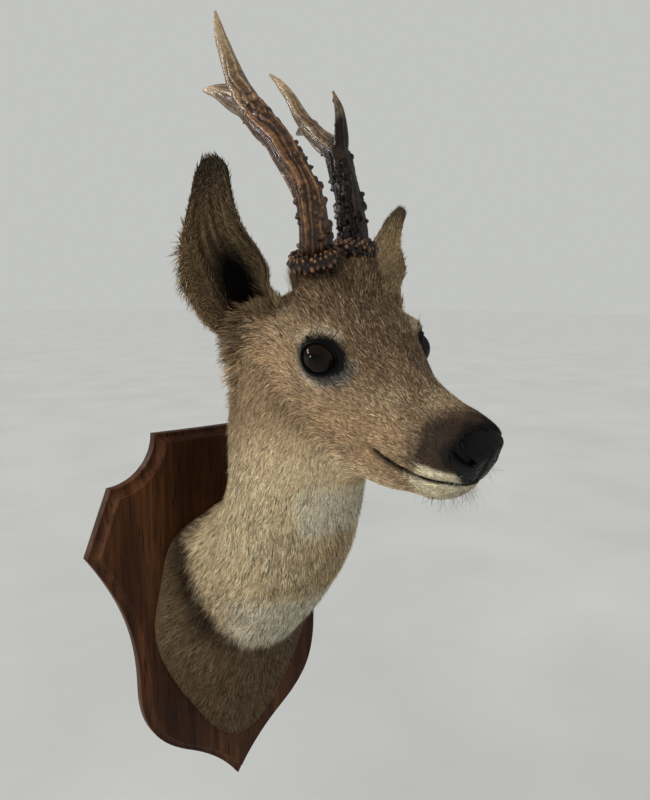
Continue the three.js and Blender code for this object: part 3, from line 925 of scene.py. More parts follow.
# ---- skin
@dataclass
class Patch:
    """A grid of points on a surface that tufts can grow from."""

    points: Array
    uv: Array
    outward: Array
    lie: Array

    def area(self) -> Array:
        """Area of each cell, from the cross product of its diagonals."""
        p = self.points
        return 0.5 * np.linalg.norm(np.cross(p[1:, 1:] - p[:-1, :-1], p[1:, :-1] - p[:-1, 1:]), axis=-1)

    def scatter(self, density: Array, rng: Chance) -> "Roots":
        """Roots spread evenly over the cells, as dense as asked.

        Args:
            density: Tufts for each square millimetre, one value per cell.
            rng: Seeded chance.

        Returns:
            The roots.
        """
        share = np.cumsum((self.area() * density).ravel())
        count = int(share[-1])
        picks = (np.arange(count) + rng.uniform(size=count)) / count * share[-1]
        cell = np.searchsorted(share, picks)
        i, j = np.unravel_index(np.minimum(cell, len(share) - 1), density.shape)
        a, b = rng.uniform(size=(2, count, 1))

        def read(grid: Array) -> Array:
            """The grid's value at each place, mixed from its cell's corners."""
            left = mix(grid[i, j], grid[i + 1, j], a)
            return mix(left, mix(grid[i, j + 1], grid[i + 1, j + 1], a), b)

        return Roots(read(self.points), unit(read(self.outward)), unit(read(self.lie)), read(self.uv))


@dataclass
class Roots:
    """Where tufts grow: places, ways out of the skin, ways the coat lies, and places on the map."""

    places: Array
    outward: Array
    lie: Array
    uv: Array

    def only(self, keep: Array) -> "Roots":
        """The roots that are kept."""
        return Roots(self.places[keep], self.outward[keep], self.lie[keep], self.uv[keep])


def surface_ways(points: Array) -> tuple[Array, Array]:
    """Ways out of and back along a closed grid surface, from differences of its points.

    Args:
        points: The grid, its rows going forwards and its columns turning left.

    Returns:
        Outward ways and backward ways.
    """
    ahead = np.gradient(points, axis=0)
    around = np.roll(points, -1, axis=1) - np.roll(points, 1, axis=1)
    return unit(np.cross(around, ahead)), -unit(ahead)


@dataclass
class Skin:
    """One skin from the board to the nose, found by rays sent out of a line through the flesh."""

    flesh: Flesh = field(default_factory=Flesh)
    coat: Coat = field(default_factory=Coat)
    rows_per_span: tuple[int, ...] = (18, 34, 34, 48, 36, 42, 46)
    nose_rows: int = 48
    columns: int = 260
    map_height: float = 0.74
    # Place, size and height of gentle swells of neck and shoulders, in the board's frame.
    fullness: tuple = (
        ((8, -142, 64), (34, 26, 36), 3.0), ((-77, -106, 178), (20, 26, 30), -3.5),
        ((-70, -24, 66), (27, 24, 34), 7), ((70, -24, 66), (27, 24, 34), 7),
    )
    # The same for the ears' feet and the chin, in the head's frame, mirrored left to right.
    head_fullness: tuple = (((-69, 61, -9), (17, 18, 20), 12.5), ((112, 0, -50), (11, 15, 9), 2.2))
    stride: float = 3
    strides: int = 85
    halvings: int = 11

    def line(self) -> tuple[Array, Array, Array]:
        """Stations of the line through the flesh.

        Returns:
            Middles, headings and ways to the left.
        """
        left = list(HEAD.left_way)
        ways = ((0.2, 0.98), (0.82, 0.57), (0.94, 0.34), (1, 0), (1, 0))
        turned = [HEAD.way([x, 0, z]) for x, z in ways]
        places = ((-38, -20), (0, -25), (50, -40), (104, -40.3))
        inside = [HEAD.out([x, 0, z]) for x, z in places]
        middles = np.vstack([[0, -16.3, -25], [0, -45, 10], [-3, -85, 75], [-7, -115, 140], *inside])
        headings = np.vstack([[0, -1, 0], [0, -0.970, 0.242], [0, -0.588, 0.808], *turned])
        return middles, headings, np.array([[1, 0, 0]] * 3 + [left] * 5, float)

    def planes(self, places: Array) -> tuple[Array, Array, Array, Array]:
        """Cutting planes along the line, on smooth curves through its stations.

        Args:
            places: Places, in stations.

        Returns:
            Middles, headings, sides and overs.
        """
        stations = (np.insert(held, 0, range(len(held)), axis=1) for held in self.line())
        middles, headings, lefts = (along(rows, places) for rows in stations)
        headings = unit(headings)
        sides = square_to(lefts, headings)
        return middles, headings, sides, np.cross(headings, sides)

    def level(self, points: Array) -> Array:
        """The skin's field: the coat's field, its depth further in, with the face's folds.

        Args:
            points: Points in the board's frame.

        Returns:
            One value per point, below nought inside.
        """
        f = self.flesh.whole(points) + self.coat.depth(points)
        # A shallow groove and a roll along the low edge by the board.
        low, wall = ease(-40, -85, points[..., 2]), points[..., 1]
        f = f + low * (3.0 * bump(wall + 33, 4) - 1.6 * bump(wall + 24, 6))
        for at, size, height in self.fullness:
            f = f - height * hill(points, at, size)
        p = HEAD.into(points)
        for at, size, height in self.head_fullness:
            f = f - height * hill(folded(p), at, size)
        # The bridge of the nose.
        x, z = p[..., 0], p[..., 2]
        f = f - (1.0 + 1.3 * ease(88, 104, x)) * ease(28, 48, x) * ease(-24, -8, z)
        return FACE.carve(f, p)

    def reach(self, origins: Array, ways: Array) -> Array:
        """Where rays from inside leave the skin: even strides, then halving.

        Args:
            origins: Starts, one per ray.
            ways: Directions.

        Returns:
            Points on the skin.
        """
        outside = np.full(len(origins), 2.0 * self.stride)
        left = np.arange(len(origins))
        for _ in range(self.strides):
            inside = self.level(origins[left] + ways[left] * outside[left, None]) < 0
            left = left[inside]
            if not len(left):
                break
            outside[left] += self.stride
        low = outside - self.stride
        for _ in range(self.halvings):
            half = (low + outside) / 2
            inside = self.level(origins + ways * half[:, None]) < 0
            low, outside = np.where(inside, half, low), np.where(inside, outside, half)
        return origins + ways * low[:, None]

    def surface(self) -> Array:
        """The skin's grid of points, from the board's face to the nose.

        Returns:
            Points as (rows, columns, 3).
        """
        places = np.concatenate([k + np.arange(n) / n for k, n in enumerate(self.rows_per_span)])
        closing = np.linspace(0, np.pi / 2, self.nose_rows)[:-1]
        lean = np.concatenate([np.zeros(len(places)), closing])[:, None]
        places = np.concatenate([places, np.full(len(closing), len(self.rows_per_span))])
        middles, headings, sides, overs = self.planes(places)
        angle = np.arange(self.columns) / self.columns * TAU
        ways = radial(lean, radial(angle, sides[:, None], overs[:, None]), headings[:, None])
        origins = np.broadcast_to(middles[:, None], ways.shape)
        return self.reach(origins.reshape(-1, 3), ways.reshape(-1, 3)).reshape(ways.shape)

    def patch(self) -> Patch:
        """The skin as a patch for tufts, its map unrolled: angle across, place along the line up.

        Returns:
            The patch, its last column on its first.
        """

        def close(grid: Array) -> Array:
            """The grid with its first column again at its end."""
            return np.concatenate([grid, grid[:, :1]], axis=1)

        points = self.surface()
        across = np.linspace(0, 1, self.columns + 1)
        u, v = np.meshgrid(across, np.linspace(0.01, self.map_height, len(points)))
        out, lie = surface_ways(points)
        return Patch(close(points), np.stack([u, v], -1), close(out), close(lie))

    def shape(self, patch: Patch, markings: Markings) -> Shape:
        """The patch as a closed shape, painted darker than the tufts that grow from it.

        Args:
            patch: The skin's patch.
            markings: Its colours.

        Returns:
            The shape.
        """
        grid = patch.points[:, :-1]
        shape = tube(grid)
        shape.uv[: grid.shape[0] * grid.shape[1]] = patch.uv[:, :-1].reshape(-1, 2)
        shape.values = {"tint": 0.5 * markings.colours(shape.points)}
        return shape


# ---- ears
@dataclass
class Ear:
    """A cupped ear between a root and a tip, its hollow facing one way."""

    side: Side
    root: Place
    tip: Place
    facing: Place
    width: float
    wall: float = 2.4
    # How far the rim stands before the axis, half the angle of the curl at root and tip, and how
    # deep the cup is for its width.
    rim_rise: float = 5.1
    curl: tuple[float, float] = (1.9, 0.75)
    cup: float = 0.72
    rows: int = 70
    columns: int = 56
    olive: Colour = (0.062, 0.044, 0.024)
    behind: Colour = (0.15, 0.108, 0.06)
    edge: Colour = (0.15, 0.10, 0.052)
    # Painted shade: near black, deep in the ear's hollow.
    black: Colour = (0.0015, 0.001, 0.001)
    rim: Colour = (0.022, 0.017, 0.012)
    streak: Colour = (0.30, 0.215, 0.125)
    # From root to tip: share of the width, and how far the ear sways outwards.
    outline: tuple = (
        (0, 0.74, 0), (0.12, 0.84, 7), (0.25, 0.87, 12), (0.38, 0.97, 12),
        (0.5, 0.88, 12.5), (0.62, 0.71, 12.5), (0.74, 0.56, 9.5), (0.85, 0.45, 5),
        (0.94, 0.37, 1.5), (1, 0.20, 0),
    )

    def axes(self) -> tuple[Array, Array, Array, Array]:
        """The ear's own axes in the board's frame.

        Returns:
            Its foot, its axis from root to tip, the way its hollow faces, and across.
        """
        foot = HEAD.out(self.root)
        axis = HEAD.out(self.tip) - foot
        face = square_to(HEAD.way(self.facing), unit(axis))
        return foot, axis, face, unit(np.cross(axis, face))

    def sheet(self, t: Array, u: Array, lift: float) -> Array:
        """The ear's surface: bowed across by sin(u curl) and sunk by cos(u curl).

        Args:
            t: Share of the way from root to tip.
            u: Across the ear, from -1 to 1.
            lift: Which wall: 1 in the hollow, -1 on the back.

        Returns:
            Points in the board's frame.
        """
        foot, axis, face, across = self.axes()
        t = np.clip(t, 0, 1)
        share, sway = np.moveaxis(along(self.outline, t), -1, 0)
        half = np.maximum(self.width / 2 * share - 1.0, 1.0)
        curl = mix(*self.curl, ease(0, 0.75, t))
        full = np.sin(np.minimum(curl, np.pi / 2))
        bow = half * np.sin(u * curl) / full
        sink = half * (np.cos(u * curl) - np.cos(curl)) * self.cup
        normal = unit(np.stack([-self.cup * np.sin(u * curl), np.cos(u * curl) / full], -1))
        wall = lift * (self.wall * (1 - u**4) * np.minimum(1, 12 * (1 - t)) / 2 + 0.3)
        sway = bow + self.side.value * sway + normal[..., 0] * wall
        deep = self.rim_rise - sink + normal[..., 1] * wall
        middle = foot + axis * (t * 0.985)[..., None]
        return middle + across * sway[..., None] + face * deep[..., None]

    def grids(self) -> tuple[Array, Array, Array, Array]:
        """The ear's grids, rows from root to tip.

        Returns:
            Places along and across, and the points in the hollow and on the back.
        """
        shares, across = np.linspace(0, 1, self.rows), np.linspace(-1, 1, self.columns)
        t, u = np.meshgrid(shares, across, indexing="ij")
        return t, u, self.sheet(t, u, 1), self.sheet(t, u, -1)

    def on_map(self, across: Array, up: Array) -> Array:
        """Places on the map, from shares across and up the ear's own part of it."""
        left = 0.02 if self.side is Side.RIGHT else 0.52
        return np.stack([left + 0.46 * across, 0.78 + 0.2 * up], -1)

    def colours(self, t: Array, u: Array, inside: bool) -> Array:
        """Colour of the ear: dark in the hollow, deepened to near black by painted shade where it is
        deepest, darkest at rim and tip, olive brown behind.

        Args:
            t: Shares of the way from root to tip.
            u: Across the ear, from -1 to 1.
            inside: Whether they are in the hollow.

        Returns:
            One linear colour per place.
        """
        p = np.stack([t * 100, u * 30, np.zeros_like(t)], -1)
        outer = u * self.side.value
        c = np.broadcast_to(self.olive if inside else self.behind, t.shape + (3,))
        c = c * (1 + 0.2 * ripple(p * np.array([0.3, 1, 1]), 9, 21)[..., None])
        if inside:
            c = c * (1 + 0.45 * ripple(p * np.array([0.12, 1.5, 1]), 5, 22)[..., None])
            edge = 0.75 * ease(0.35, 0.9, outer) * ease(0.8, 0.4, t)
            c = mix(c, self.edge, edge[..., None])
            # The hollow's dark skin, deepened to near black as painted shade where the cup is deepest.
            hollow = ease(1.3, 0.6, np.hypot((t - 0.2) / 0.36, (outer + 0.07) / 0.46))
            c = mix(c, self.black, hollow[..., None])
        rim = 0.6 * ease(0.9, 1, np.abs(u)) * ease(0.3, 0.6, t) + 0.85 * ease(0.74, 0.95, t)
        return mix(c, self.rim, np.clip(rim, 0, 0.95)[..., None])

    def shape(self) -> Shape:
        """The ear as one closed shape, its hollow wall running on round the rim into its back.

        Returns:
            The shape with its colours.
        """
        t, u, front, back = self.grids()
        rings = np.concatenate([front, back[:, ::-1]], axis=1)
        tints = self.colours(t, u, True), self.colours(t, u, False)[:, ::-1]
        shape = tube(rings, {"tint": np.concatenate(tints, axis=1)})
        return replace(shape, uv=self.on_map(*shape.uv.T))

    def patch(self, inside: bool) -> tuple[Patch, Array, Array]:
        """One wall as a patch for tufts that lie from root to tip.

        Args:
            inside: Whether it is the hollow's wall.

        Returns:
            The patch, and its places along and across.
        """
        t, u, front, back = self.grids()
        points = front if inside else back
        ahead = np.gradient(points, axis=0)
        out = unit(np.cross(np.gradient(points, axis=1), ahead))
        facing = out[self.rows // 2, self.columns // 2] @ self.axes()[2]
        out = out * (np.sign(facing) * (1 if inside else -1))
        uv = self.on_map((u + 1) / 4 + (0 if inside else 0.5), t)
        return Patch(points, uv, out, unit(ahead)), t, u

    def hair(self, inside: bool, rng: Chance) -> "Hair":
        """Hair of one wall: short behind; sparse in the hollow, with a long fringe at its outer rim.

        Args:
            inside: Whether it grows in the hollow.
            rng: Seeded chance.

        Returns:
            The hair.
        """
        patch, t, u = self.patch(inside)
        tt, uu = ((grid[1:, 1:] + grid[:-1, :-1]) / 2 for grid in (t, u))
        density = np.full(tt.shape, 0.62)
        if inside:
            density = 0.16 + 0.55 * ease(0.35, 0.8, np.abs(uu)) + 0.25 * ease(0.6, 0.9, tt)
        roots = patch.scatter(density * ease(0.0, 0.03, tt), rng)
        count, sign = len(roots.places), self.side.value
        foot, axis, _, across = self.axes()
        at = (roots.places - foot) @ axis / (axis @ axis)
        share, sway = np.moveaxis(along(self.outline, at), -1, 0)
        v = ((roots.places - foot) @ across - sign * sway) / (self.width / 2 * share)
        v = np.clip(v, -1, 1)
        aside = across * np.sign(v)[:, None]
        tint = self.colours(np.clip(at, 0, 1), v, inside) * 1.15
        if inside:
            fringe = ease(0.55, 0.9, v * sign) * ease(0.75, 0.45, at)
            outer = fringe[:, None]
            spill = across * (1.1 * sign) - unit(axis) * 0.9
            lie = roots.lie * (1 - 0.7 * outer) - 0.25 * aside * (1 - outer)
            lie = lie + spill * outer + roots.outward * 0.1
            length = rng.uniform(5, 11, count) * (1 - 0.45 * at) * (1 + 0.8 * fringe)
            width = np.full(count, 0.55)
            pale = (rng.uniform(size=count) < 0.35) * fringe * 0.8
            tint = mix(tint, self.streak, pale[:, None])
        else:
            lie = 0.6 * ease(0.3, 1, np.abs(v)) * ease(1.05, 0.6, at)
            lie = roots.lie + aside * lie[:, None]
            length = rng.uniform(4, 7, count) * (1 + 1.2 * ease(0.45, 0.0, at))
            width = length * 0.10
        tint = tint * np.clip(rng.normal(1, 0.35, count), 0.3, 2)[:, None]
        return Hair(replace(roots, lie=unit(lie)), length, width, tint)


# ---- tufts
@dataclass
class Hair:
    """Hair that is to be grown: its roots, and the length, width and colour of each tuft."""

    roots: Roots
    length: Array
    width: Array
    tint: Array

    def only(self, keep: Array) -> "Hair":
        """The tufts that are kept."""
        held = self.length[keep], self.width[keep], self.tint[keep]
        return Hair(self.roots.only(keep), *held)


@dataclass(frozen=True)
class Tufts:
    """How tufts are shaped: three-sided blades that rise from the skin and lie back along it."""

    lift: float = 0.26
    settle: float = 0.02
    spread: float = 0.2
    thickness: float = 0.22
    segments: int = 2
    roll: float = 0.22
    # Brightness from root to tip.
    shading: tuple[float, ...] = (0.58, 1.1, 1.48)

    def triangles(self) -> int:
        """Triangles in one tuft."""
        return 6 * self.segments - 2

    def faces(self) -> tuple[Array, Array]:
        """One tuft's faces.

        Returns:
            Four-sided faces between its rings, and three-sided ones at its tip and its root.
        """
        steps = 3 * np.arange(self.segments)
        ring = np.array([[0, 1, 4, 3], [1, 2, 5, 4], [2, 0, 3, 5]])
        quads = (ring + steps[:-1, None, None]).reshape(-1, 4)
        tip = np.array([[0, 1, 3], [1, 2, 3], [2, 0, 3]]) + steps[-1]
        return quads, np.vstack([tip, [[0, 2, 1]]])

    def shape(self, hair: Hair, rng: Chance) -> Shape:
        """All tufts as one shape.

        Each runs from its root in equal steps that turn from the lift towards the lie of the coat.

        Args:
            hair: The hair.
            rng: Seeded chance.

        Returns:
            The shape, with tint per point and the map in small patches at the roots.
        """
        roots, count, segments = hair.roots, len(hair.length), self.segments
        across = unit(np.cross(roots.lie, roots.outward))
        lie = unit(roots.lie + across * rng.normal(scale=self.spread, size=(count, 1)))
        lie = square_to(lie, roots.outward)
        across = np.cross(lie, roots.outward)
        across = unit(across + roots.outward * rng.normal(scale=self.roll, size=(count, 1)))
        over = np.cross(across, lie)
        over = over * np.sign((over * roots.outward).sum(-1, keepdims=True) + 1e-9)
        start = self.lift * np.clip(rng.lognormal(0, 0.55, (count, 1)), 0.3, 3.2)
        step = hair.length[:, None] / segments
        rings, place = [], roots.places - roots.outward * (0.05 * hair.length[:, None])
        for k in range(segments):
            taper = (1 - 0.35 * k / segments) * (0.75 if k == 0 else 1)
            w = (hair.width * taper)[:, None] / 2
            rings += [place - across * w, place + across * w, place + over * w * self.thickness * 2]
            angle = mix(start, self.settle, (k + 0.5) / segments)
            place = place + (lie * np.cos(angle) + roots.outward * np.sin(angle)) * step
        points = np.stack([*rings, place], 1)
        offset = (np.arange(count) * points.shape[1])[:, None, None]
        t = np.append(np.repeat(np.arange(segments) / segments, 3), 1)
        s = np.append(np.tile([0, 1, 0.5], segments), 0.5)
        uv = roots.uv[:, None] + 0.003 * np.stack([s - 0.5, t], -1)
        shade = np.interp(t, np.linspace(0, 1, len(self.shading)), self.shading)
        quads, triangles = self.faces()
        return Shape(
            points.reshape(-1, 3),
            (quads + offset).reshape(-1, 4),
            (triangles + offset).reshape(-1, 3),
            np.clip(uv, 0, 1).reshape(-1, 2),
            {"tint": (hair.tint[:, None] * shade[:, None]).reshape(-1, 3)},
        )


@dataclass(frozen=True)
class Shag:
    """Longer hair that stands out of one place of the head, on both sides."""

    at: Place
    reach: float
    count: int
    way: Place
    length: tuple[float, float]
    width: float
    colour: Colour
    lift: float = 0.5

    def shape(self, patch: Patch, side: Side, rng: Chance) -> Shape:
        """Its hairs as one shape.

        Args:
            patch: The skin.
            side: Which side of the head; places and ways are mirrored for the right.
            rng: Seeded chance.

        Returns:
            The shape.
        """
        flip = np.array([1, side.value, 1])
        points = patch.points.reshape(-1, 3)
        near = np.linalg.norm(HEAD.into(points) - self.at * flip, axis=-1)
        weight = bump(near, self.reach) * (near < 1.8 * self.reach)
        picked = rng.choice(len(points), self.count, p=weight / weight.sum())
        out = unit(patch.outward.reshape(-1, 3)[picked])
        spread = rng.normal(scale=0.35, size=(self.count, 3))
        way = unit(HEAD.way(self.way * flip) + 0.45 * spread)
        places = points[picked] + np.cross(out, spread)
        roots = Roots(places, out, way, patch.uv.reshape(-1, 2)[picked])
        length = rng.uniform(*self.length, self.count)
        tint = self.colour * np.clip(rng.normal(1, 0.4, self.count), 0.3, 2)[:, None]
        look = Tufts(lift=self.lift, settle=0.12, spread=0.15, segments=3)
        return look.shape(Hair(roots, length, np.full(self.count, self.width), tint), rng)


# ---- finishes
@dataclass
class Graph:
    """A material's nodes, added and joined by short calls."""

    material: Material

    @staticmethod
    def new(name: str) -> "Graph":
        """A fresh material that holds only its shader.

        Args:
            name: The material's name.

        Returns:
            Its nodes.
        """
        material = bpy.data.materials.new(name)
        material.use_nodes = True
        return Graph(material)

    def add(self, kind: str, inputs: dict, **settings: object) -> bpy.types.Node:
        """A new node.

        Args:
            kind: Its type.
            inputs: Values or sockets for its inputs.
            settings: Its own settings.

        Returns:
            The node.
        """
        node = self.material.node_tree.nodes.new(kind)
        for title, value in settings.items():
            setattr(node, title, value)
        for title, value in inputs.items():
            self.feed(node.inputs[title], value)
        return node

    def feed(self, socket: Socket, value: object) -> None:
        """Joins a socket to another, or sets its value.

        Args:
            socket: The input.
            value: A value, or the socket that feeds it.
        """
        if isinstance(value, Socket):
            self.material.node_tree.links.new(value, socket)
        else:
            socket.default_value = value

    def noise(self, scale: float, detail: float, rough: float = 0.5, stretch: Place = (1, 1, 1)) -> Socket:
        """Fractal noise on Object coordinates.

        Args:
            scale: Waves for each metre.
            detail: Octaves.
            rough: How strong the finer ones are.
            stretch: Scale along each axis.

        Returns:
            The noise, about 0 to 1.
        """
        values = {"Vector": self.place(stretch), "Scale": scale, "Detail": detail, "Roughness": rough}
        return self.add("ShaderNodeTexNoise", values).outputs["Fac"]

    def place(self, scale: Place = (1, 1, 1)) -> Socket:
        """Object coordinates, scaled."""
        source = self.add("ShaderNodeTexCoord", {}).outputs["Object"]
        return self.add("ShaderNodeMapping", {"Vector": source, "Scale": scale}).outputs["Vector"]

    def ramp(self, value: Socket, *stops: tuple[float, Colour]) -> Socket:
        """Colours along a value.

        Args:
            value: The value.
            stops: Places and colours.

        Returns:
            The colour.
        """
        node = self.add("ShaderNodeValToRGB", {"Fac": value})
        while len(node.color_ramp.elements) < len(stops):
            node.color_ramp.elements.new(0.5)
        for element, (at, colour) in zip(node.color_ramp.elements, stops):
            element.position = at
            element.color = (*colour, 1)
        return node.outputs["Color"]

    def times(self, a: Socket, b: Socket) -> Socket:
        """One colour multiplied by another."""
        values = {0: 1, 6: a, 7: b}
        return self.add("ShaderNodeMix", values, data_type="RGBA", blend_type="MULTIPLY").outputs[2]

    def tint(self) -> Socket:
        """The piece's own colour per point."""
        return self.add("ShaderNodeAttribute", {}, attribute_name="tint").outputs["Color"]

    def relief(self, height: Socket, distance: float, strength: float = 1) -> Socket:
        """A bump of a height, its distance in metres."""
        values = {"Height": height, "Distance": distance, "Strength": strength}
        return self.add("ShaderNodeBump", values).outputs["Normal"]

    def finish(self, colour: Socket, relief: Socket | None = None, **settings: float) -> Material:
        """Joins colour and relief to the shader, and sets plain values on its own sockets.

        Args:
            colour: The colour.
            relief: The relief, where there is one.
            settings: Values by the sockets' names, with a line for a space.

        Returns:
            The material.
        """
        shader = self.material.node_tree.nodes["Principled BSDF"]
        for title, value in settings.items():
            shader.inputs[title.replace("_", " ")].default_value = value
        self.feed(shader.inputs["Base Color"], colour)
        if relief is not None:
            self.feed(shader.inputs["Normal"], relief)
        return self.material


@dataclass(frozen=True)
class OakFinish:
    """Dark stained oak: long vertical grain, short open pores and a satin varnish."""

    dark: Colour = (0.012, 0.0045, 0.002)
    middle: Colour = (0.036, 0.0125, 0.0045)
    light: Colour = (0.085, 0.034, 0.013)
    pore: Colour = (0.35, 0.33, 0.32)
    grain: Place = (150, 60, 7)
    figure: Place = (26, 20, 2.2)
    pores: Place = (900, 500, 34)

    def material(self) -> Material:
        """The finish as a material.

        Returns:
            The material.
        """
        g = Graph.new("oak_finish")
        grain, figure = g.noise(1, 5, 0.62, self.grain), g.noise(1, 2, stretch=self.figure)
        both = g.add("ShaderNodeMath", {0: grain, 1: figure}, operation="ADD").outputs[0]
        half = g.add("ShaderNodeMath", {0: both, 1: 0.5}, operation="MULTIPLY").outputs[0]
        colour = g.ramp(half, (0.36, self.dark), (0.5, self.middle), (0.64, self.light))
        pores = g.noise(1, 2, stretch=self.pores)
        pores = g.ramp(pores, (0.36, self.pore), (0.43, (1, 1, 1)))
        relief = g.relief(pores, 0.0002, 0.6)
        return g.finish(g.times(colour, pores), relief, Roughness=0.42, Specular_IOR_Level=0.10)


@dataclass(frozen=True)
class CoatFinish:
    """Hair: the tuft's own colour, broken up finely, dull with a little sheen."""

    name: str = "coat_finish"
    roughness: float = 0.72
    bump: float = 0.0
    dark: Colour = (0.68, 0.67, 0.68)
    light: Colour = (1.28, 1.26, 1.22)

    def material(self) -> Material:
        """The finish as a material.

        Returns:
            The material.
        """
        g = Graph.new(self.name)
        broken = g.ramp(g.noise(900, 2), (0.3, self.dark), (0.7, self.light))
        relief = g.relief(g.noise(700, 3), self.bump) if self.bump else None
        colour = g.times(g.tint(), broken)
        return g.finish(colour, relief, Roughness=self.roughness, Specular_IOR_Level=0.06)


@dataclass(frozen=True)
class WetSkinFinish:
    """Bare dark skin with fine pebbles and a damp shine."""

    name: str
    colour: Colour = (0.0008, 0.0009, 0.0010)
    roughness: float = 0.36
    cell: float = 900
    height: float = 0.0004
    coat: float = 0.2

    def material(self) -> Material:
        """The finish as a material.

        Returns:
            The material.
        """
        g = Graph.new(self.name)
        cells = g.add("ShaderNodeTexVoronoi", {"Vector": g.place(), "Scale": self.cell})
        light = tuple(1.9 * c for c in self.colour)
        colour = g.ramp(g.noise(160, 2), (0.3, self.colour), (0.7, light))
        relief = g.relief(cells.outputs["Distance"], -self.height)
        shine = {"Specular_IOR_Level": 0.05, "Coat_Weight": self.coat, "Coat_Roughness": 0.24}
        return g.finish(colour, relief, Roughness=self.roughness, **shine)


@dataclass(frozen=True)
class EyeFinish:
    """A polished glass eye: its painted iris shows through a clear face."""

    dark: Colour = (0.75, 0.75, 0.75)
    light: Colour = (1.2, 1.2, 1.2)

    def material(self) -> Material:
        """The finish as a material.

        Returns:
            The material.
        """
        g = Graph.new("eye_finish")
        colour = g.times(g.tint(), g.ramp(g.noise(700, 3), (0.3, self.dark), (0.7, self.light)))
        glass = {"Coat_Weight": 0.36, "Coat_Roughness": 0.012, "Coat_IOR": 1.45}
        return g.finish(colour, Roughness=0.5, Specular_IOR_Level=0.0, **glass)


@dataclass(frozen=True)
class AntlerFinish:
    """Antler: pale where it is rubbed, dark in its furrows, waxed."""

    dark: Colour = (0.6, 0.56, 0.52)
    light: Colour = (1.3, 1.28, 1.24)

    def material(self) -> Material:
        """The finish as a material.

        Returns:
            The material.
        """
        g = Graph.new("antler_finish")
        fine = g.noise(420, 4, 0.6)
        colour = g.times(g.tint(), g.ramp(fine, (0.3, self.dark), (0.7, self.light)))
        wax = {"Specular_IOR_Level": 0.2, "Coat_Weight": 0.3, "Coat_Roughness": 0.1}
        return g.finish(colour, g.relief(fine, 0.0007, 0.9), Roughness=0.28, **wax)


# ---- eyes, lids and nose
@dataclass
class GlassEye:
    """A glass ball with a slightly raised clear front over a dark brown iris and a level pupil."""

    side: Side
    rings: int = 72
    segments: int = 96
    inset: float = 0.35
    front_rise: float = 0.3
    # Half angles of the iris and of the pupil, along and across the slit.
    iris_turn: float = 0.86
    pupil_turns: tuple[float, float] = (0.40, 0.20)
    white: Colour = (0.0008, 0.0008, 0.001)
    iris: Colour = (0.0055, 0.0027, 0.0014)
    pupil: Colour = (0.0005, 0.0005, 0.0008)

    def build(self, finish: Material) -> Piece:
        """The eye in place: radius = ball + rise * bump(turn from the look).

        Args:
            finish: Its glass.

        Returns:
            The piece.
        """
        look, front, over = EYE.axes(self.side)
        turn, round_ = ball_angles(self.rings, self.segments, 0.02)
        way = radial(turn, look, radial(round_, front, over))
        radius = EYE.radius - self.inset + self.front_rise * bump(turn, 0.7)
        points = HEAD.out(EYE.middle(self.side) + way * radius[..., None])
        if self.side is Side.RIGHT:
            points, turn, round_ = points[:, ::-1], turn[:, ::-1], round_[:, ::-1]
        wide, high = self.pupil_turns
        slit = np.hypot(turn * np.cos(round_) / wide, turn * np.sin(round_) / high)
        fibres = 1 + 0.25 * np.sin(round_ * 37) * np.sin(turn * 19)
        iris = (ease(1.3, 1.0, turn / self.iris_turn) * fibres)[..., None]
        tint = mix(self.white, self.iris, iris)
        tint = mix(tint, self.pupil, ease(1.25, 0.85, slit)[..., None])
        node = f"eye_{self.side.name.lower()}"
        ball = tube(points[::-1], {"tint": tint[::-1]})
        return make_piece(f"{node}_glass", ball, finish, (node,))


@dataclass
class Lids:
    """The bare dark rim of one eye, a rounded band that follows the almond."""

    side: Side
    steps: int = 160
    around: int = 12
    # The band's middle: the almond's measure, and how far it stands off the ball.
    swell: float = 1.04
    stand_off: float = 0.5
    # Half width and half thickness, and how much they grow over the top.
    half_width: tuple[float, float] = (2.0, 0.6)
    half_height: tuple[float, float] = (0.95, 0.2)

    def build(self, finish: Material) -> Piece:
        """The rim: an oval section carried once round the almond, thicker over the top.

        Args:
            finish: Its skin.

        Returns:
            The piece.
        """
        share = np.arange(self.steps) / self.steps
        middle = EYE.edge(share, self.swell, EYE.radius + self.stand_off, self.side)
        heading = unit(np.roll(middle, -1, axis=0) - np.roll(middle, 1, axis=0))
        out = unit(middle - EYE.middle(self.side))
        across = unit(np.cross(heading, out))
        wide, high = (
            (least + more * np.sin(TAU * share))[:, None]
            for least, more in (self.half_width, self.half_height)
        )
        angle = np.arange(self.around) / self.around * TAU
        ring = middle[:, None] + radial(angle, (across * wide)[:, None], (out * high)[:, None])
        faces = grid_faces(self.steps + 1, self.around, True) % (self.steps * self.around)
        shape = Shape(HEAD.out(ring).reshape(-1, 3), faces)
        return make_piece(f"eye_rim_{self.side.name.lower()}", shape, finish)


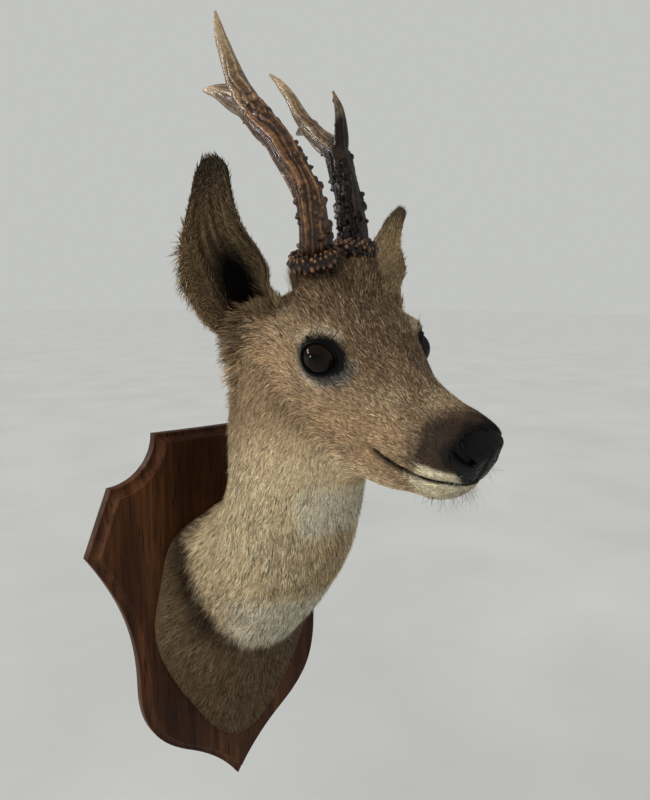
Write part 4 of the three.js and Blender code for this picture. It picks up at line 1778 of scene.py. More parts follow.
@dataclass
class NosePad:
    """The bare nose between the nostrils, pebbled all over."""

    flesh: Flesh
    heart: Place = (110, 0, -17)
    rings: int = 130
    segments: int = 170
    reach: float = 34
    halvings: int = 18
    # The left nostril's line from its front to the end of its curl, its depth and its wing.
    nostril_line: tuple = (
        (124.5, 9.0, -22.0), (122.0, 12.5, -19.5), (118.0, 15.6, -15.5),
        (114.5, 17.0, -11.0), (113.0, 16.5, -7.5),
    )
    nostril_depth: float = 5.0
    wing: Place = (122.5, 14, -12.5)

    def nostril(self, p: Array) -> Array:
        """Depth of the nostrils: a comma on each side that narrows as it curls back and up.

        Args:
            p: Points in the head's frame.

        Returns:
            Millimetres, below nought on the wings.
        """
        share = np.linspace(0, 1, 40)
        path = Path(self.nostril_line).at(share)
        wide = 1.8 + 2.3 * np.sin(np.pi * np.clip(share * 0.95 + 0.05, 0, 1)) ** 0.8
        mirrored = folded(p)
        gap = (np.linalg.norm(mirrored[..., None, :] - path, axis=-1) / wide).min(-1)
        wing = np.linalg.norm(mirrored - self.wing, axis=-1)
        return self.nostril_depth * ease(1.15, 0.45, gap) - 1.1 * bump(wing, 4.5)

    def build(self, finish: Material) -> Piece:
        """The pad: rays from its heart to the muzzle, sinking under the coat round its edge.

        Args:
            finish: Its skin.

        Returns:
            The piece.
        """
        turn, round_ = ball_angles(self.rings, self.segments, 0.01)
        forward, left, up = np.eye(3)
        way = radial(turn, forward, radial(round_, left, up))
        heart = np.array(self.heart)
        low, high = np.zeros(turn.shape), np.full(turn.shape, self.reach)
        for _ in range(self.halvings):
            half = (low + high) / 2
            inside = self.flesh.head_field(heart + way * half[..., None]) < 0
            low, high = np.where(inside, half, low), np.where(inside, high, half)
        p = heart + way * low[..., None]
        edge = NOSE.measure(p)
        philtrum = 1.3 * bump(p[..., 1], 1.0) * ease(-13, -20, p[..., 2])
        pebbles = 0.12 * ripple(p, 4.2, 31) + 0.06 * ripple(p, 3, 32)
        sunk = 0.2 + 1.7 * ease(0.92, 1.04, edge) + 6 * ease(1.04, 1.4, edge)
        low = low - self.nostril(p) - philtrum + pebbles - sunk
        points = HEAD.out(heart + way * low[..., None])
        return make_piece("nose_pad_skin", tube(points[::-1]), finish, ("nose_pad",))


# ---- antlers
def pearls_on(along_mm: Array, around_mm: Array, girth: Array, spots: Array) -> tuple[Array, Array]:
    """Height of round pearls over a rolled-out surface.

    Each is h * sqrt(1 - (distance / r) squared), and the highest wins.

    Args:
        along_mm: Places along, per point.
        around_mm: Places round, per point.
        girth: Length round, per point.
        spots: Rows of place along, share round, radius, height.

    Returns:
        The height, and its share of the winning pearl's own height.
    """
    height, share = np.zeros(along_mm.shape), np.zeros(along_mm.shape)
    for at, turn, radius, high in spots:
        gap = np.abs(around_mm / girth - turn) % 1
        gap = np.minimum(gap, 1 - gap) * girth
        rise = np.sqrt(np.clip(1 - ((along_mm - at) ** 2 + gap**2) / radius**2, 0, 1))
        better = rise * high > height
        height, share = np.where(better, rise * high, height), np.where(better, rise, share)
    return height, share


class Horn(Enum):
    """The colours of antler: furrow, body, crest and rubbed crest."""

    BROWN = ((0.018, 0.008, 0.004), (0.10, 0.047, 0.019), (0.20, 0.107, 0.044), (0.36, 0.23, 0.11))
    BLACK = ((0.002, 0.0012, 0.001), (0.010, 0.005, 0.003), (0.050, 0.026, 0.014), (0.17, 0.12, 0.07))
    TOP = ((0.055, 0.032, 0.017), (0.15, 0.097, 0.05), (0.26, 0.18, 0.10), (0.36, 0.27, 0.165))


@dataclass
class AntlerRod:
    """One length of antler along a path: ridged lengthwise, knobbly on its inner side near the foot."""

    points: tuple
    # Share of the length and radius there.
    radii: tuple
    horn: Horn
    seed: int
    ridge: float = 0.07
    knobs: int = 0
    knob_size: float = 2.0
    # Share of the way round that faces the other antler.
    inner: float = 0.0
    # A way in which a web broadens its middle, where it has one.
    web: Place = (0, 0, 0)
    # Shares of the length over which it is rubbed pale, and how dark its foot is.
    rubbed: tuple[float, float] = (2, 3)
    dusk: float = 0.0
    columns: int = 132
    row_step: float = 0.7

    def ridges(self, at: Array, angle: Array) -> Array:
        """Irregular ridges along the rod.

        Each of three sets is 1 - 2 |sin(m angle / 2 + drift)| to the power 0.8, its drift wandering
        slowly along the rod.

        Args:
            at: Millimetres from the foot.
            angle: Angles round.

        Returns:
            -1 in a furrow to 1 on a crest.
        """
        ring = np.stack([np.cos(angle) * 12, np.sin(angle) * 12, at], -1)
        drift = 0.16 * ripple(ring, 40, self.seed + 3) + 0.05 * ripple(ring, 12, self.seed + 4)
        drift = angle + drift + 0.2 * np.sin(at / 45 + self.seed)
        total = np.zeros(at.shape)
        for m, share, shift in ((5, 0.36, 0.4), (11, 0.34, 2.0), (19, 0.3, 4.4)):
            total += share * (1 - 2 * np.abs(np.sin(m * drift / 2 + shift)) ** 0.8)
        return total

    def knob_spots(self, length: float) -> Array:
        """Where the knobs are, most near the foot and on the inner side.

        Args:
            length: The rod's length.

        Returns:
            Rows of place along, share round, radius and height.
        """
        rng = np.random.default_rng(self.seed)
        n, size = self.knobs, self.knob_size
        facing = rng.uniform(size=n) < 0.62
        turn = np.where(facing, self.inner + rng.normal(scale=0.085, size=n), rng.uniform(size=n))
        at = rng.beta(1.0, 2.3, n) * length
        radius, height = size * rng.uniform(0.55, 1.15, n), size * rng.uniform(0.4, 1.5, n)
        return np.column_stack([at, turn % 1, radius, height * (1 - 0.55 * at / length)])

    def shape(self) -> Shape:
        """The rod: radius (1 + ridges) + knobs, on square frames along the path.

        Returns:
            The shape with its colours.
        """
        path = Path(self.points)
        length = path.length()
        share = np.linspace(0, 1, int(length / self.row_step) + 8)
        middle, _, side, over = path.frames(share, np.array([0, 1.0, 0]))
        t, turn = np.meshgrid(share, np.arange(self.columns) / self.columns, indexing="ij")
        size = along(self.radii, t)[..., 0]
        angle, at = TAU * turn, t * length
        lines = self.ridges(at, angle)
        swell = 0.035 * np.sin(at / 9 + 2 * np.sin(angle)) + 0.02 * np.sin(at / 4.1 + 3 * angle)
        girth = TAU * size
        raised, knob = pearls_on(at, turn * girth, girth, self.knob_spots(length))
        height = size * (self.ridge * (lines - 0.2) + swell) + raised * (1 + 0.25 * lines)
        reach = np.maximum(size * 0.97 + height, 0.3)[..., None]
        offset = reach * radial(angle, side[:, None], over[:, None])
        web = unit(self.web)
        offset = offset + (0.45 * bump(t - 0.5, 0.35) * (offset @ web))[..., None] * web
        ring = middle[:, None] + offset
        return tube(HEAD.out(ring), {"tint": self.colours(ring, t, at, lines, knob)})

    def colours(self, ring: Array, t: Array, at: Array, lines: Array, knob: Array) -> Array:
        """The rod's colours: dark furrows and knobs, paler crests, palest where it is rubbed.

        Args:
            ring: Its points in the head's frame.
            t: Shares of the length.
            at: Millimetres from the foot.
            lines: The ridges.
            knob: How high each point is on a knob.

        Returns:
            One linear colour per point.
        """
        furrow, body, crest, rubbed = self.horn.value
        mottle = 0.3 * ripple(ring, 8, self.seed) + 0.2 * ripple(ring, 3.2, self.seed + 5)
        lines = (lines + mottle)[..., None]
        tint = mix(mix(furrow, body, ease(-0.75, 0.05, lines)), crest, ease(0.0, 0.75, lines))
        worn = 0.85 * ease(*self.rubbed, t + 0.06 * ripple(ring, 12, self.seed + 2))[..., None]
        tint = mix(tint, rubbed * (0.7 + 0.3 * ease(-0.8, 0.6, lines)), worn)
        tint = mix(tint, furrow, (0.8 * ease(0.05, 0.4, knob))[..., None])
        tint = mix(tint, crest, (0.45 * ease(0.88, 1.0, knob))[..., None])
        dusk = (self.dusk * ease(24, 6, at + 5 * ripple(ring, 6, self.seed + 6)))[..., None]
        return mix(tint, Horn.BLACK.value[1], dusk)


@dataclass
class Corona:
    """The ring of beads round an antler's foot."""

    middle: Place
    axis: Place
    size: float
    seed: int
    thickness: float = 4.8
    bead_height: float = 1.4
    beads: int = 104
    steps: int = 260
    around: int = 64
    dark: Colour = (0.007, 0.004, 0.003)
    red: Colour = (0.075, 0.032, 0.014)
    tan: Colour = (0.27, 0.15, 0.07)

    def spots(self, length: float) -> Array:
        """Where the beads are: evenly round the ring, in four staggered rows.

        Args:
            length: The ring's length.

        Returns:
            Rows of place along, share round, radius and height.
        """
        rng, n = np.random.default_rng(self.seed), self.beads
        at = (np.arange(n) + rng.uniform(-0.45, 0.45, n)) / n * length
        row = np.array([0.0, 0.2, 0.84, 0.1])[np.arange(n) % 4]
        turn = (row + rng.normal(scale=0.035, size=n)) % 1
        spots = np.column_stack([at, turn, rng.uniform(1.1, 2.2, n), rng.uniform(0.9, 2.3, n)])
        return np.vstack([spots, spots + [length, 0, 0, 0], spots - [length, 0, 0, 0]])

    def shape(self) -> Shape:
        """A round ring, beaded all over its outside: beads stand on its rolled-out surface.

        Returns:
            The shape with its colours.
        """
        way = unit(self.axis)
        across = square_to(np.array([0, 1.0, 0]), way)
        over = np.cross(way, across)
        small = self.thickness
        big = self.size - small - self.bead_height
        steps, around = np.arange(self.steps) / self.steps, np.arange(self.around) / self.around
        t, s = np.meshgrid(steps, around, indexing="ij")
        girth, length = np.full(t.shape, TAU * small), TAU * (big + small)
        raised, share = pearls_on(t * length, s * girth, girth, self.spots(length))
        reach, turn = small + raised, TAU * s
        out = (big + reach * np.cos(turn))[..., None] * radial(TAU * t, across, over)
        points = self.middle + out + way * (reach * np.sin(turn) * 1.12)[..., None]
        tone = 0.5 + 0.5 * ripple(points, 5, self.seed)
        tint = mix(self.dark, self.red, (tone * ease(0.2, 0.8, share))[..., None])
        tint = mix(tint, self.tan, (tone * ease(0.8, 1.0, share))[..., None])
        faces = grid_faces(self.steps + 1, self.around, True) % t.size
        return Shape(
            HEAD.out(points).reshape(-1, 3),
            faces[:, ::-1],
            uv=np.stack([t, s], -1).reshape(-1, 2),
            values={"tint": tint.reshape(-1, 3)},
        )


@dataclass
class Antlers:
    """Both antlers: coronas, beams, tops and tines. Paths run from the foot, in the head's frame."""

    right_beam: tuple = (
        (-40, -20, 60), (-36, -21.5, 74), (-38, -23, 90), (-46, -25, 104),
        (-72, -28.5, 126), (-96, -30.5, 140), (-118, -33, 152),
    )
    right_stub: tuple = ((-101, -31, 140), (-96, -32, 147), (-94, -33, 151.5))
    right_top: tuple = (
        (-108, -32, 147.5), (-118, -33, 152), (-135, -34.5, 165),
        (-146, -35.5, 180), (-160, -37, 198), (-167, -38, 214),
    )
    right_rear: tuple = (
        (-108, -31.5, 147), (-124, -34.5, 152.5), (-140, -38, 157), (-155, -43, 161), (-168, -48, 162),
    )
    left_beam: tuple = (
        (-51, 20, 60), (-57, 21, 74), (-62, 21.5, 84), (-70, 22, 97), (-77, 22.5, 108), (-86, 22.5, 121),
    )
    left_top: tuple = (
        (-82, 22.5, 115), (-86, 22.5, 121), (-113, 21, 131), (-140, 19.5, 146),
        (-156, 19, 158), (-178, 18, 171), (-193, 17, 177),
    )
    left_spur: tuple = ((-122, 20.7, 138), (-136, 21, 137), (-149, 21, 133.5))
    left_front: tuple = ((-85, 22.5, 118), (-85, 24, 133), (-90, 24.5, 150), (-99, 24, 163))

    def rods(self) -> dict[str, tuple[AntlerRod, ...]]:
        """The lengths of antler.

        Returns:
            The rods of each node.
        """
        right = (0, 10.4), (0.25, 10), (0.6, 9.8), (0.85, 10.5), (1, 10)
        left = (0, 10.6), (0.4, 9.6), (0.8, 9.8), (1, 9.6)
        stub = (0, 8.5), (0.5, 7.8), (0.85, 5.5), (1, 2)
        spur = (0, 6.5), (0.6, 4.4), (1, 1.6)
        right_top = AntlerRod(
            self.right_top, ((0, 10.4), (0.3, 9), (0.6, 6.2), (0.85, 3.9), (1, 1.1)),
            Horn.TOP, 8, 0.06, 3, 1.2, web=(0.75, 0, -0.65), rubbed=(0.35, 0.9),
        )
        rear = AntlerRod(
            self.right_rear, ((0, 8.5), (0.35, 7.6), (0.7, 5), (0.9, 3), (1, 1.4)),
            Horn.TOP, 9, 0.05, web=(0, 0, 1), rubbed=(0.5, 0.95),
        )
        left_top = AntlerRod(
            self.left_top, ((0, 9.6), (0.28, 7.8), (0.6, 5.2), (0.85, 3.3), (1, 1.0)),
            Horn.TOP, 17, 0.07, 6, 1.3, 0.5, rubbed=(0.4, 0.95), dusk=0.95,
        )
        front = AntlerRod(
            self.left_front, ((0, 6.8), (0.35, 5.2), (0.7, 3.5), (1, 0.9)),
            Horn.BLACK, 19, 0.07, 8, 1.4, 0.5, rubbed=(0.45, 1.0),
        )
        return {
            "antler_right_beam": (
                AntlerRod(self.right_beam, right, Horn.BROWN, 4, 0.08, 105, 2.7, dusk=0.5),
                AntlerRod(self.right_stub, stub, Horn.BROWN, 6, 0.02),
            ),
            "antler_right_top": (right_top,),
            "antler_right_rear_tine": (rear,),
            "antler_left_beam": (
                AntlerRod(self.left_beam, left, Horn.BLACK, 14, 0.12, 120, 3.1, 0.5, dusk=0.3),
            ),
            "antler_left_top": (left_top, AntlerRod(self.left_spur, spur, Horn.TOP, 18, 0.05)),
            "antler_left_front_tine": (front,),
        }

    def build(self, finish: Material) -> None:
        """All antler pieces in place of their CAD nodes.

        Args:
            finish: Their finish.
        """
        for node, rods in self.rods().items():
            shape = reduce(Shape.joined, (rod.shape() for rod in rods))
            slot = "antler" if "beam" in node else "antler_tip"
            make_piece(f"{node}_horn", shape, finish, (node,))
        for node, ring in (
            ("antler_right_corona", Corona((-39, -19.6, 57.5), (0.02, -0.28, 1), 18.5, 41)),
            ("antler_left_corona", Corona((-50, 18, 60), (-0.2, 0.1, 1), 17, 43)),
        ):
            make_piece(f"{node}_beads", ring.shape(), finish, (node,))


# ---- board
@dataclass
class ShieldBoard:
    """The shield-shaped board: a square edge, a small step and a cove up to a flat face."""

    tip: float = -200
    belly: float = -68
    belly_half: float = 100
    shoulder: float = 63
    shoulder_half: float = 142
    scoop_foot: float = 118
    scoop_half: float = 120
    top: float = 159
    crown: float = -1
    square_edge: float = 9
    thickness: float = 16
    # The cove: where it starts, its width, its share of the rise, and the bead's end above it.
    cove_start: float = 1.6
    cove_width: float = 5.2
    cove_rise: float = 0.78
    moulding: float = 8
    mitre_fade: float = 40

    def sides(self) -> list[Array]:
        """The outline's half from the tip to the middle of the top, from corner to corner: curves of
        the third degree by the belly to the shoulder, a straight, a quarter circle, a shallow curve.

        Returns:
            Flat points (across, up) of each.
        """
        t, u = np.linspace(0, 1, 41)[:, None], np.linspace(0, 1, 31)[:, None]

        def curve(*handles: tuple[float, float]) -> Array:
            """A curve of the third degree: its ends, and the handles that bend it."""
            a, b, c, d = np.array(handles, float)
            return a * (1 - t) ** 3 + 3 * b * t * (1 - t) ** 2 + 3 * c * t**2 * (1 - t) + d * t**3

        tip, belly, wide, high = self.tip, self.belly_half, self.shoulder_half, self.shoulder
        low = curve((0, tip), (9, tip + 13), (22, tip + 32), (54, tip + 52))
        side = curve((54, tip + 52), (86, tip + 72), (belly, self.belly - 38), (belly, self.belly))
        wing = curve((belly, self.belly), (belly, self.belly + 50), (wide - 30, high - 46), (wide, high))
        corner = np.array([self.scoop_half, self.scoop_foot])
        straight = mix(np.array([wide, high]), corner, t)
        scoop = self.top - self.scoop_foot
        angle = -np.pi / 2 * (1 + t)
        centre = np.array([self.scoop_half, self.top])
        arc = centre + scoop * np.hstack([np.cos(angle), np.sin(angle)])
        ends = (self.scoop_half - scoop, self.top), (38, self.top + self.crown), (0, self.top + self.crown)
        start, bend, middle = np.array(ends, float)
        head = start * (1 - u) ** 2 + 2 * bend * u * (1 - u) + middle * u**2
        return [np.vstack([low, side[1:], wing[1:]]), straight, arc, head]

    def inset(self, sides: list[Array], distance: float) -> Array:
        """The outline moved inwards by a distance.

        Each side moves along its own normals. Its ends then slide along it to meet the next side in a
        mitre, corner + (n1 + n2) / (1 + n1.n2) * distance, and the slide fades out along the side.

        Args:
            sides: Curves from corner to corner, from the tip round to the middle of the top.
            distance: How far inwards.

        Returns:
            The whole outline, both halves.
        """
        ways = [unit(np.gradient(side, axis=0)) for side in sides]
        normals = [np.stack([-way[:, 1], way[:, 0]], -1) for way in ways]
        moved = []
        for k, (side, normal) in enumerate(zip(sides, normals)):
            length = np.append(0, np.cumsum(np.linalg.norm(np.diff(side, axis=0), axis=1)))
            before = normals[k - 1][-1] if k else normal[0] * [-1, 1]
            after = normals[k + 1][0] if k + 1 < len(sides) else normal[-1] * [-1, 1]
            curve = side + normal * distance
            for end, other, away in ((0, before, length), (-1, after, length[-1] - length)):
                mitre = (normal[end] + other) / (1 + normal[end] @ other) * distance
                fade = np.clip(1 - away / self.mitre_fade, 0, 1)[:, None] ** 2
                curve = curve + (mitre - normal[end] * distance) * fade
            moved.append(curve if k == 0 else curve[1:])
        half = np.vstack(moved)
        return np.vstack([half, half[1:-1][::-1] * [-1, 1]])

    def profile(self) -> list[tuple[float, float]]:
        """The edge from the back to the face: a square edge, a small step, a cove and a bead.

        Returns:
            How far inwards and how far from the wall, point by point.
        """
        edge, face = self.square_edge, self.thickness
        profile = [(0.9, 0), (0.3, 0.25), (0, 0.9), (0, edge - 0.6), (0.15, edge - 0.15)]
        profile += [(0.6, edge), (1.5, edge)]
        wide, high = self.cove_width, self.cove_rise * (face - edge)
        for a in np.linspace(0, np.pi / 2, 15)[1:]:
            profile.append((self.cove_start + wide * np.sin(a), edge + high * (1 - np.cos(a))))
        end = self.cove_start + wide
        bead = [(end + 0.02, face - 0.6), (end + 0.1, face - 0.2), (end + 0.35, face)]
        return profile + bead + [(self.moulding, face)]

    def build(self, finish: Material) -> Piece:
        """The board: rings of the inset outline, closed by rungs from side to side.

        Args:
            finish: Its wood.

        Returns:
            The piece.
        """
        sides, profile = self.sides(), self.profile()
        count, rungs = len(self.inset(sides, 0)), sum(len(side) for side in sides[:3]) - 8
        rings = [np.insert(self.inset(sides, x), 1, -h, axis=1) for x, h in profile]
        points = np.vstack(rings)
        quads, triangles = [grid_faces(len(profile), count, True)], []
        i = np.arange(rungs)
        mirror = (count - i) % count
        ladder = np.stack([i[:-1], i[1:], mirror[1:], mirror[:-1]], -1)[1:]
        top = np.arange(rungs - 1, count - rungs + 2)
        for start, turned in ((0, -1), ((len(profile) - 1) * count, 1)):
            hub = np.full(len(top) - 1, len(points))
            points = np.vstack([points, points[start + top[[0, -1]]].mean(0)])
            fan = np.stack([hub, start + top[:-1], start + top[1:]], -1)
            quads.append((start + ladder)[:, ::turned])
            tip = start + np.array([[0, 1, count - 1]])
            triangles += [tip[:, ::turned], fan[:, ::turned]]
        shape = Shape(points, np.vstack(quads), np.vstack(triangles))
        return make_piece("board_oak", shape, finish, ("board",))


# ---- the dressed deer
@dataclass
class Deer:
    """Skin, ears and coat together."""

    skin: Skin = field(default_factory=Skin)
    markings: Markings = field(default_factory=Markings)
    seed: int = 7
    # Coat by rows of the skin: first and last span, tufts for each square millimetre, and a tuft's
    # width as a share of its length.
    regions: tuple = (
        ("coat_shoulders", 0, 2, 1.15, 0.065),
        ("coat_neck", 2, 4, 1.25, 0.065),
        ("coat_head", 4, 5, 1.7, 0.10),
        ("coat_face", 5, None, 2.4, 0.115),
    )
    bare_rows: int = 5
    piece_limit: int = 190000
    # Rods round the antlers' feet that bear no hair, in the head's frame.
    antler_feet: tuple = (((-41, -19.5, 50), (-37, -21, 74), 12.5), ((-49, 18, 52), (-56, 21, 76), 12))
    brown: Colour = (0.11, 0.075, 0.042)
    tan: Colour = (0.26, 0.185, 0.105)
    dark: Colour = (0.012, 0.010, 0.009)
    grey: Colour = (0.30, 0.28, 0.24)
    lashes: int = 22

    def ears(self) -> list[Ear]:
        """The right ear, turned forwards, and the left one, turned out."""
        right = Ear(Side.RIGHT, (-62, -50, 2), (-80, -75, 121), (0.74, -0.62, 0.1), 66)
        return [right, Ear(Side.LEFT, (-62, 50, 2), (-118, 97, 81), (-0.05, 0.85, -0.53), 62)]

    def build_skin(self, patch: Patch, finish: Material) -> None:
        """One skin for shoulders, neck, head and ears.

        Args:
            patch: The skin's patch.
            finish: Its finish.
        """
        shapes = [self.skin.shape(patch, self.markings), *(ear.shape() for ear in self.ears())]
        shape = reduce(Shape.joined, shapes)
        nodes = ("shoulders", "neck", "head", "ear_right", "ear_left")
        make_piece("skin", shape, finish, nodes, "OFBake")

    def allowed(self, places: Array) -> Array:
        """Which roots bear hair: none on the board, the nose, the eyes, the mouth or the antlers.

        Args:
            places: Roots in the board's frame.

        Returns:
            True where hair grows.
        """
        p = HEAD.into(places)
        keep = (places[:, 1] < -17.5) & (NOSE.measure(p) >= 0.91 + 0.04 * ripple(p, 3, 72))
        for side in Side:
            keep &= EYE.patch(p, side)[0] > 1.0
        lips = mix(2.6, 1.3, ease(64, 110, p[:, 0]))
        keep &= (FACE.off_mouth(p) >= lips) | (p[:, 0] <= 48)
        for foot, head, radius in self.antler_feet:
            keep &= rod_distance(p, foot, head, radius) > 0
        return keep

    def cover(self, patch: Patch, rows: slice, per_mm: float, width: float) -> tuple[Hair, Chance]:
        """Hair over some rows of the skin.

        Args:
            patch: The skin.
            rows: Rows to cover.
            per_mm: Tufts for each square millimetre.
            width: Width of a tuft as a share of its length.

        Returns:
            The hair, and the source of chance as it leaves it.
        """
        rng = np.random.default_rng(self.seed + rows.start)
        part = Patch(patch.points[rows], patch.uv[rows], patch.outward[rows], patch.lie[rows])
        area = part.area()
        steep = np.minimum(area, np.quantile(area, 0.995)) / np.maximum(area, 1e-6)
        roots = part.scatter(per_mm * steep, rng)
        roots = roots.only(self.allowed(roots.places))
        places = roots.places
        length = self.skin.coat.length(places) * rng.uniform(0.7, 1.25, len(places))
        wander = np.stack([ripple(places, 26, s) for s in (51, 52, 53)], -1) * 0.22
        tint = self.ticking(self.markings.colours(places), places, rng)
        return Hair(replace(roots, lie=unit(roots.lie + wander)), length, length * width, tint), rng

    def ticking(self, colours: Array, places: Array, rng: Chance) -> Array:
        """The coat's colours broken up: light and dark clumps, dark hairs and grizzled pale ones.

        Args:
            colours: The coat's colours.
            places: Roots in the board's frame.
            rng: Seeded chance.

        Returns:
            One colour per tuft.
        """
        count, p = len(places), HEAD.into(places)
        clump = 1 + 0.18 * ripple(places, 8, 61) + 0.34 * ripple(places, 3.5, 62)
        tone = clump * rng.normal(1, 0.25, count)
        tone = tone * np.where(rng.uniform(size=count) < 0.38, 0.13, 1.0)
        spots = (hill(folded(p), at, (11, 8, 9)) for at, _ in self.markings.grizzle)
        grizzled = rng.uniform(size=count) < 0.15 + 0.3 * np.maximum(*spots)
        pale = np.where(grizzled, rng.uniform(0.1, 0.45, count), 0)
        # Less of it near bare skin, on the dark muzzle band and on the darker parts of the body.
        bare = NOSE.measure(p)
        for side in Side:
            bare = np.minimum(bare, EYE.patch(p, side)[0])
        x, z = p[:, 0], p[:, 2]
        quiet = ease(84, 94, x) * ease(-36, -30, z) * ease(4, -8, z)
        body = mix(1.0, np.clip(4.5 * colours.mean(-1), 0.25, 1), ease(-50, -80, x))
        pale = pale * body * ease(1.1, 1.6, bare) * (1 - 0.8 * quiet)
        tone = np.clip(tone, 0.1, 2)[:, None]
        return np.clip(colours * tone + pale[:, None] * np.array([1, 0.84, 0.58]), 0, 1)

    def grow(self, name: str, hair: Hair, look: Tufts, finish: Material, rng: Chance) -> None:
        """Makes hair in pieces that stay under the limit of triangles.

        Args:
            name: The pieces' name.
            hair: The hair.
            look: Its tufts' shape.
            finish: Its finish.
            rng: Seeded chance.
        """
        count = len(hair.length)
        parts = max(1, -(-count // (self.piece_limit // look.triangles())))
        for k, part in enumerate(np.array_split(np.arange(count), parts)):
            shape = look.shape(hair.only(part), rng)
            make_piece(f"{name}_{k + 1}", shape, finish, (), "OFBake")

    def long_hair(self, patch: Patch, finish: Material) -> None:
        """Shaggy hair round the ears' feet, whiskers of lips and chin, and lashes.

        Args:
            patch: The skin's patch.
            finish: Their finish.
        """
        rng = np.random.default_rng(self.seed + 300)
        kinds = (
            Shag((-58, 46, 22), 9, 420, (-0.35, 0.45, 0.5), (9, 17), 0.55, self.brown),
            Shag((-46, 36, 40), 6, 200, (-0.1, 0.4, 0.75), (7, 14), 0.5, self.brown),
            Shag((-70, 62, 2), 12, 620, (-0.75, 0.35, -0.4), (9, 19), 0.55, self.brown, 0.7),
            Shag((-72, 62, -16), 12, 620, (-0.75, 0.3, -0.6), (9, 18), 0.55, self.tan, 0.6),
            Shag((-74, 54, -38), 13, 420, (-0.7, 0.3, -0.65), (8, 14), 0.55, self.tan, 0.5),
            Shag((111, 7, -50), 8, 34, (0.35, 0.15, -0.9), (8, 19), 0.17, self.grey, 0.8),
            Shag((92, 10, -60), 8, 12, (0.1, 0.1, -1.0), (7, 15), 0.18, self.dark, 0.9),
            Shag((112, 13, -31), 6, 18, (0.45, 0.6, -0.5), (8, 16), 0.16, self.grey, 0.6),
        )
        shapes = [kind.shape(patch, side, rng) for kind in kinds for side in Side]
        shapes += [self.lash_row(side, rng) for side in Side]
        make_piece("coat_long", reduce(Shape.joined, shapes), finish, (), "OFBake")

    def lash_row(self, side: Side, rng: Chance) -> Shape:
        """The lashes of one upper lid.

        Args:
            side: Which eye.
            rng: Seeded chance.

        Returns:
            The shape.
        """
        n = self.lashes
        share = rng.uniform(0.08, 0.42, n)
        foot = EYE.edge(share, 1.16, EYE.radius + 1.0, side)
        out, front, over = EYE.axes(side)
        way = unit(0.75 * out + 0.55 * over + (0.9 * (0.25 - share) + 0.25)[:, None] * front)
        outward = HEAD.way(np.broadcast_to(out, way.shape))
        roots = Roots(HEAD.out(foot), outward, HEAD.way(way), np.full((n, 2), 0.5))
        tint = np.broadcast_to(self.dark, (n, 3))
        hair = Hair(roots, rng.uniform(8, 15, n), np.full(n, 0.36), tint)
        return Tufts(0.1, 0.35, 0.12, 0.5, 3).shape(hair, rng)

    def build(self) -> None:
        """Skin and all of its hair."""
        finish = CoatFinish().material()
        patch = self.skin.patch()
        LOG.info("skin grid %s", patch.points.shape)
        self.build_skin(patch, CoatFinish("skin_finish", 0.85, 0.0006).material())
        rows = np.cumsum((0, *self.skin.rows_per_span))
        for name, first, last, per_mm, width in self.regions:
            end = len(patch.points) - self.bare_rows if last is None else rows[last] + 1
            hair, rng = self.cover(patch, slice(rows[first], end), per_mm, width)
            self.grow(name, hair, Tufts(segments=1), finish, rng)
        self.long_hair(patch, finish)
        for ear in self.ears():
            rng = np.random.default_rng(self.seed + 100 + ear.side.value)
            for inside, look in ((True, Tufts(0.35, 0.15, 0.22)), (False, Tufts(0.25, 0.1, 0.22))):
                name = f"ear_{ear.side.name.lower()}_hair_{'in' if inside else 'out'}"
                self.grow(name, ear.hair(inside, rng), look, finish, rng)


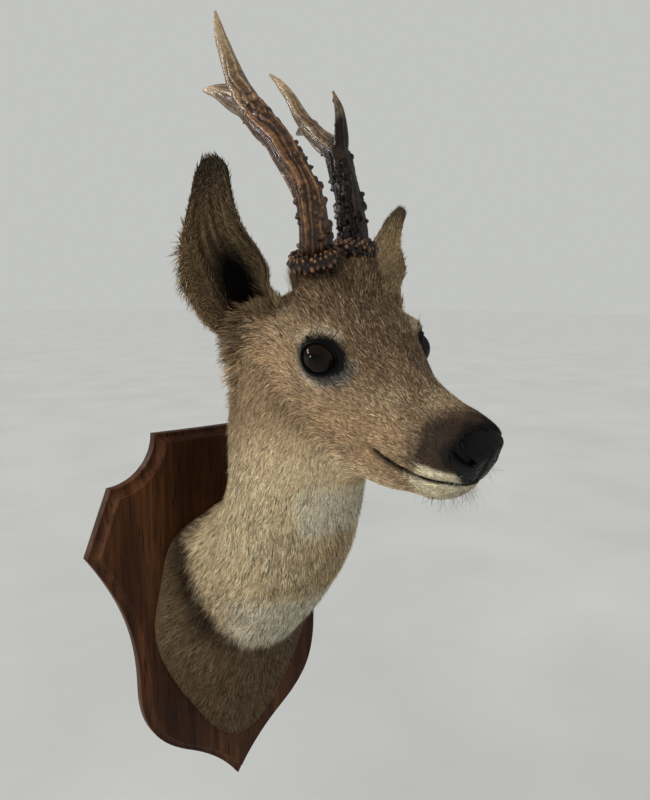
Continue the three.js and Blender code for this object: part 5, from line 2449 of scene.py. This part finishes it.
# ---- studio
@dataclass
class Studio:
    """Camera, soft lights, pale surroundings and a plain pale floor."""

    camera_at: Place = (-0.3374, -0.5125, 0.2744)
    right: Place = (0.7449, -0.6671, 0.0061)
    down: Place = (-0.0982, -0.1186, -0.9881)
    ahead: Place = (0.6599, 0.7355, -0.1538)
    lens: float = 29.7
    floor_level: float = -0.42
    floor_half: float = 30
    # The stone's darker and lighter clouds, and the light that the backdrop gives and shows.
    stone: tuple[Colour, Colour] = ((0.435, 0.445, 0.43), (0.485, 0.495, 0.48))
    given: Colour = (0.30, 0.305, 0.315)
    shown: Colour = (0.54, 0.55, 0.53)

    def camera(self) -> None:
        """The camera, before the deer's right shoulder."""
        data = bpy.data.cameras.new("camera")
        data.lens, data.sensor_width, data.clip_start = self.lens, 36, 0.02
        camera = bpy.data.objects.new("camera", data)
        axes = np.array([self.right, -np.array(self.down), -np.array(self.ahead)])
        camera.matrix_world = Matrix.Translation(self.camera_at) @ Matrix(axes.T.tolist()).to_4x4()
        bpy.context.scene.collection.objects.link(camera)
        bpy.context.scene.camera = camera

    def light(
        self, name: str, way: Place, power: float, spread: float, colour: Colour, mirrored: bool = True
    ) -> None:
        """One soft distant light.

        Args:
            name: Its name.
            way: The way to the light.
            power: Its strength.
            spread: How wide it looks, in radians.
            colour: Its colour.
            mirrored: Whether shiny things show it.
        """
        data = bpy.data.lights.new(name, "SUN")
        data.energy, data.angle, data.color = power, spread, colour
        lamp = bpy.data.objects.new(name, data)
        lamp.visible_glossy = mirrored
        back = unit(way)
        side = unit(np.cross([0, 0, 1], back))
        axes = np.array([side, np.cross(back, side), back])
        lamp.matrix_world = Matrix(axes.T.tolist()).to_4x4()
        bpy.context.scene.collection.objects.link(lamp)

    def surroundings(self) -> None:
        """A pale backdrop that gives the mount a softer, dimmer light than it shows."""
        world = bpy.data.worlds.new("surroundings")
        world.use_nodes = True
        tree = world.node_tree
        seen = tree.nodes.new("ShaderNodeLightPath").outputs["Is Camera Ray"]
        tone = tree.nodes.new("ShaderNodeMix")
        tone.data_type = "RGBA"
        tree.links.new(seen, tone.inputs["Factor"])
        tone.inputs["A"].default_value = (*self.given, 1)
        tone.inputs["B"].default_value = (*self.shown, 1)
        tree.links.new(tone.outputs["Result"], tree.nodes["Background"].inputs["Color"])
        bpy.context.scene.world = world
        bpy.context.scene.view_settings.view_transform = "Standard"

    def floor(self) -> None:
        """The floor: a large plane of pale, faintly clouded stone."""
        g = Graph.new("floor_finish")
        dark, light = self.stone
        material = g.finish(g.ramp(g.noise(3, 4), (0.3, dark), (0.7, light)), Roughness=0.6)
        mesh = bpy.data.meshes.new("floor")
        half, z = self.floor_half, self.floor_level
        corners = [(-half, -half, z), (half, -half, z), (half, half, z), (-half, half, z)]
        mesh.from_pydata(corners, [], [(0, 1, 2, 3)])
        mesh.materials.append(material)
        plane = bpy.data.objects.new("floor", mesh)
        bpy.context.scene.collection.objects.link(plane)

    def build(self) -> None:
        """Everything round the mount."""
        self.camera()
        self.surroundings()
        self.light("key", (-0.93, -0.13, 0.56), 4.2, 1.7, (1.0, 0.98, 0.94), False)
        for k, way in enumerate(((-0.42, 0.83, 0.36), (-0.62, 0.73, 0.28), (-0.88, 0.44, 0.06))):
            self.light(f"window_{k + 1}", way, 0.45, 0.13, (1, 1, 1))
        self.light("fill", (0.35, -0.95, 0.35), 0.42, 1.5, (0.96, 0.975, 1.0))
        self.light("rim", (0.88, 0.30, 0.36), 0.35, 1.4, (0.97, 0.98, 1.0), False)
        self.floor()


def main() -> None:
    """Builds the mount piece by piece, then the studio round it."""
    logging.basicConfig(level=logging.INFO, format="%(message)s")
    Studio().build()
    ShieldBoard().build(OakFinish().material())
    LOG.info("board")
    Antlers().build(AntlerFinish().material())
    LOG.info("antlers")
    glass = EyeFinish().material()
    rim = WetSkinFinish("lid_finish", (0.0012, 0.0012, 0.0014), 0.4, 1400, 0.0001, 0.04).material()
    for side in Side:
        GlassEye(side).build(glass)
        Lids(side).build(rim)
    LOG.info("eyes and lids")
    NosePad(Flesh()).build(WetSkinFinish("nose_finish").material())
    LOG.info("nose")
    Deer().build()
    LOG.info("deer")


if __name__ == "__main__":
    main()
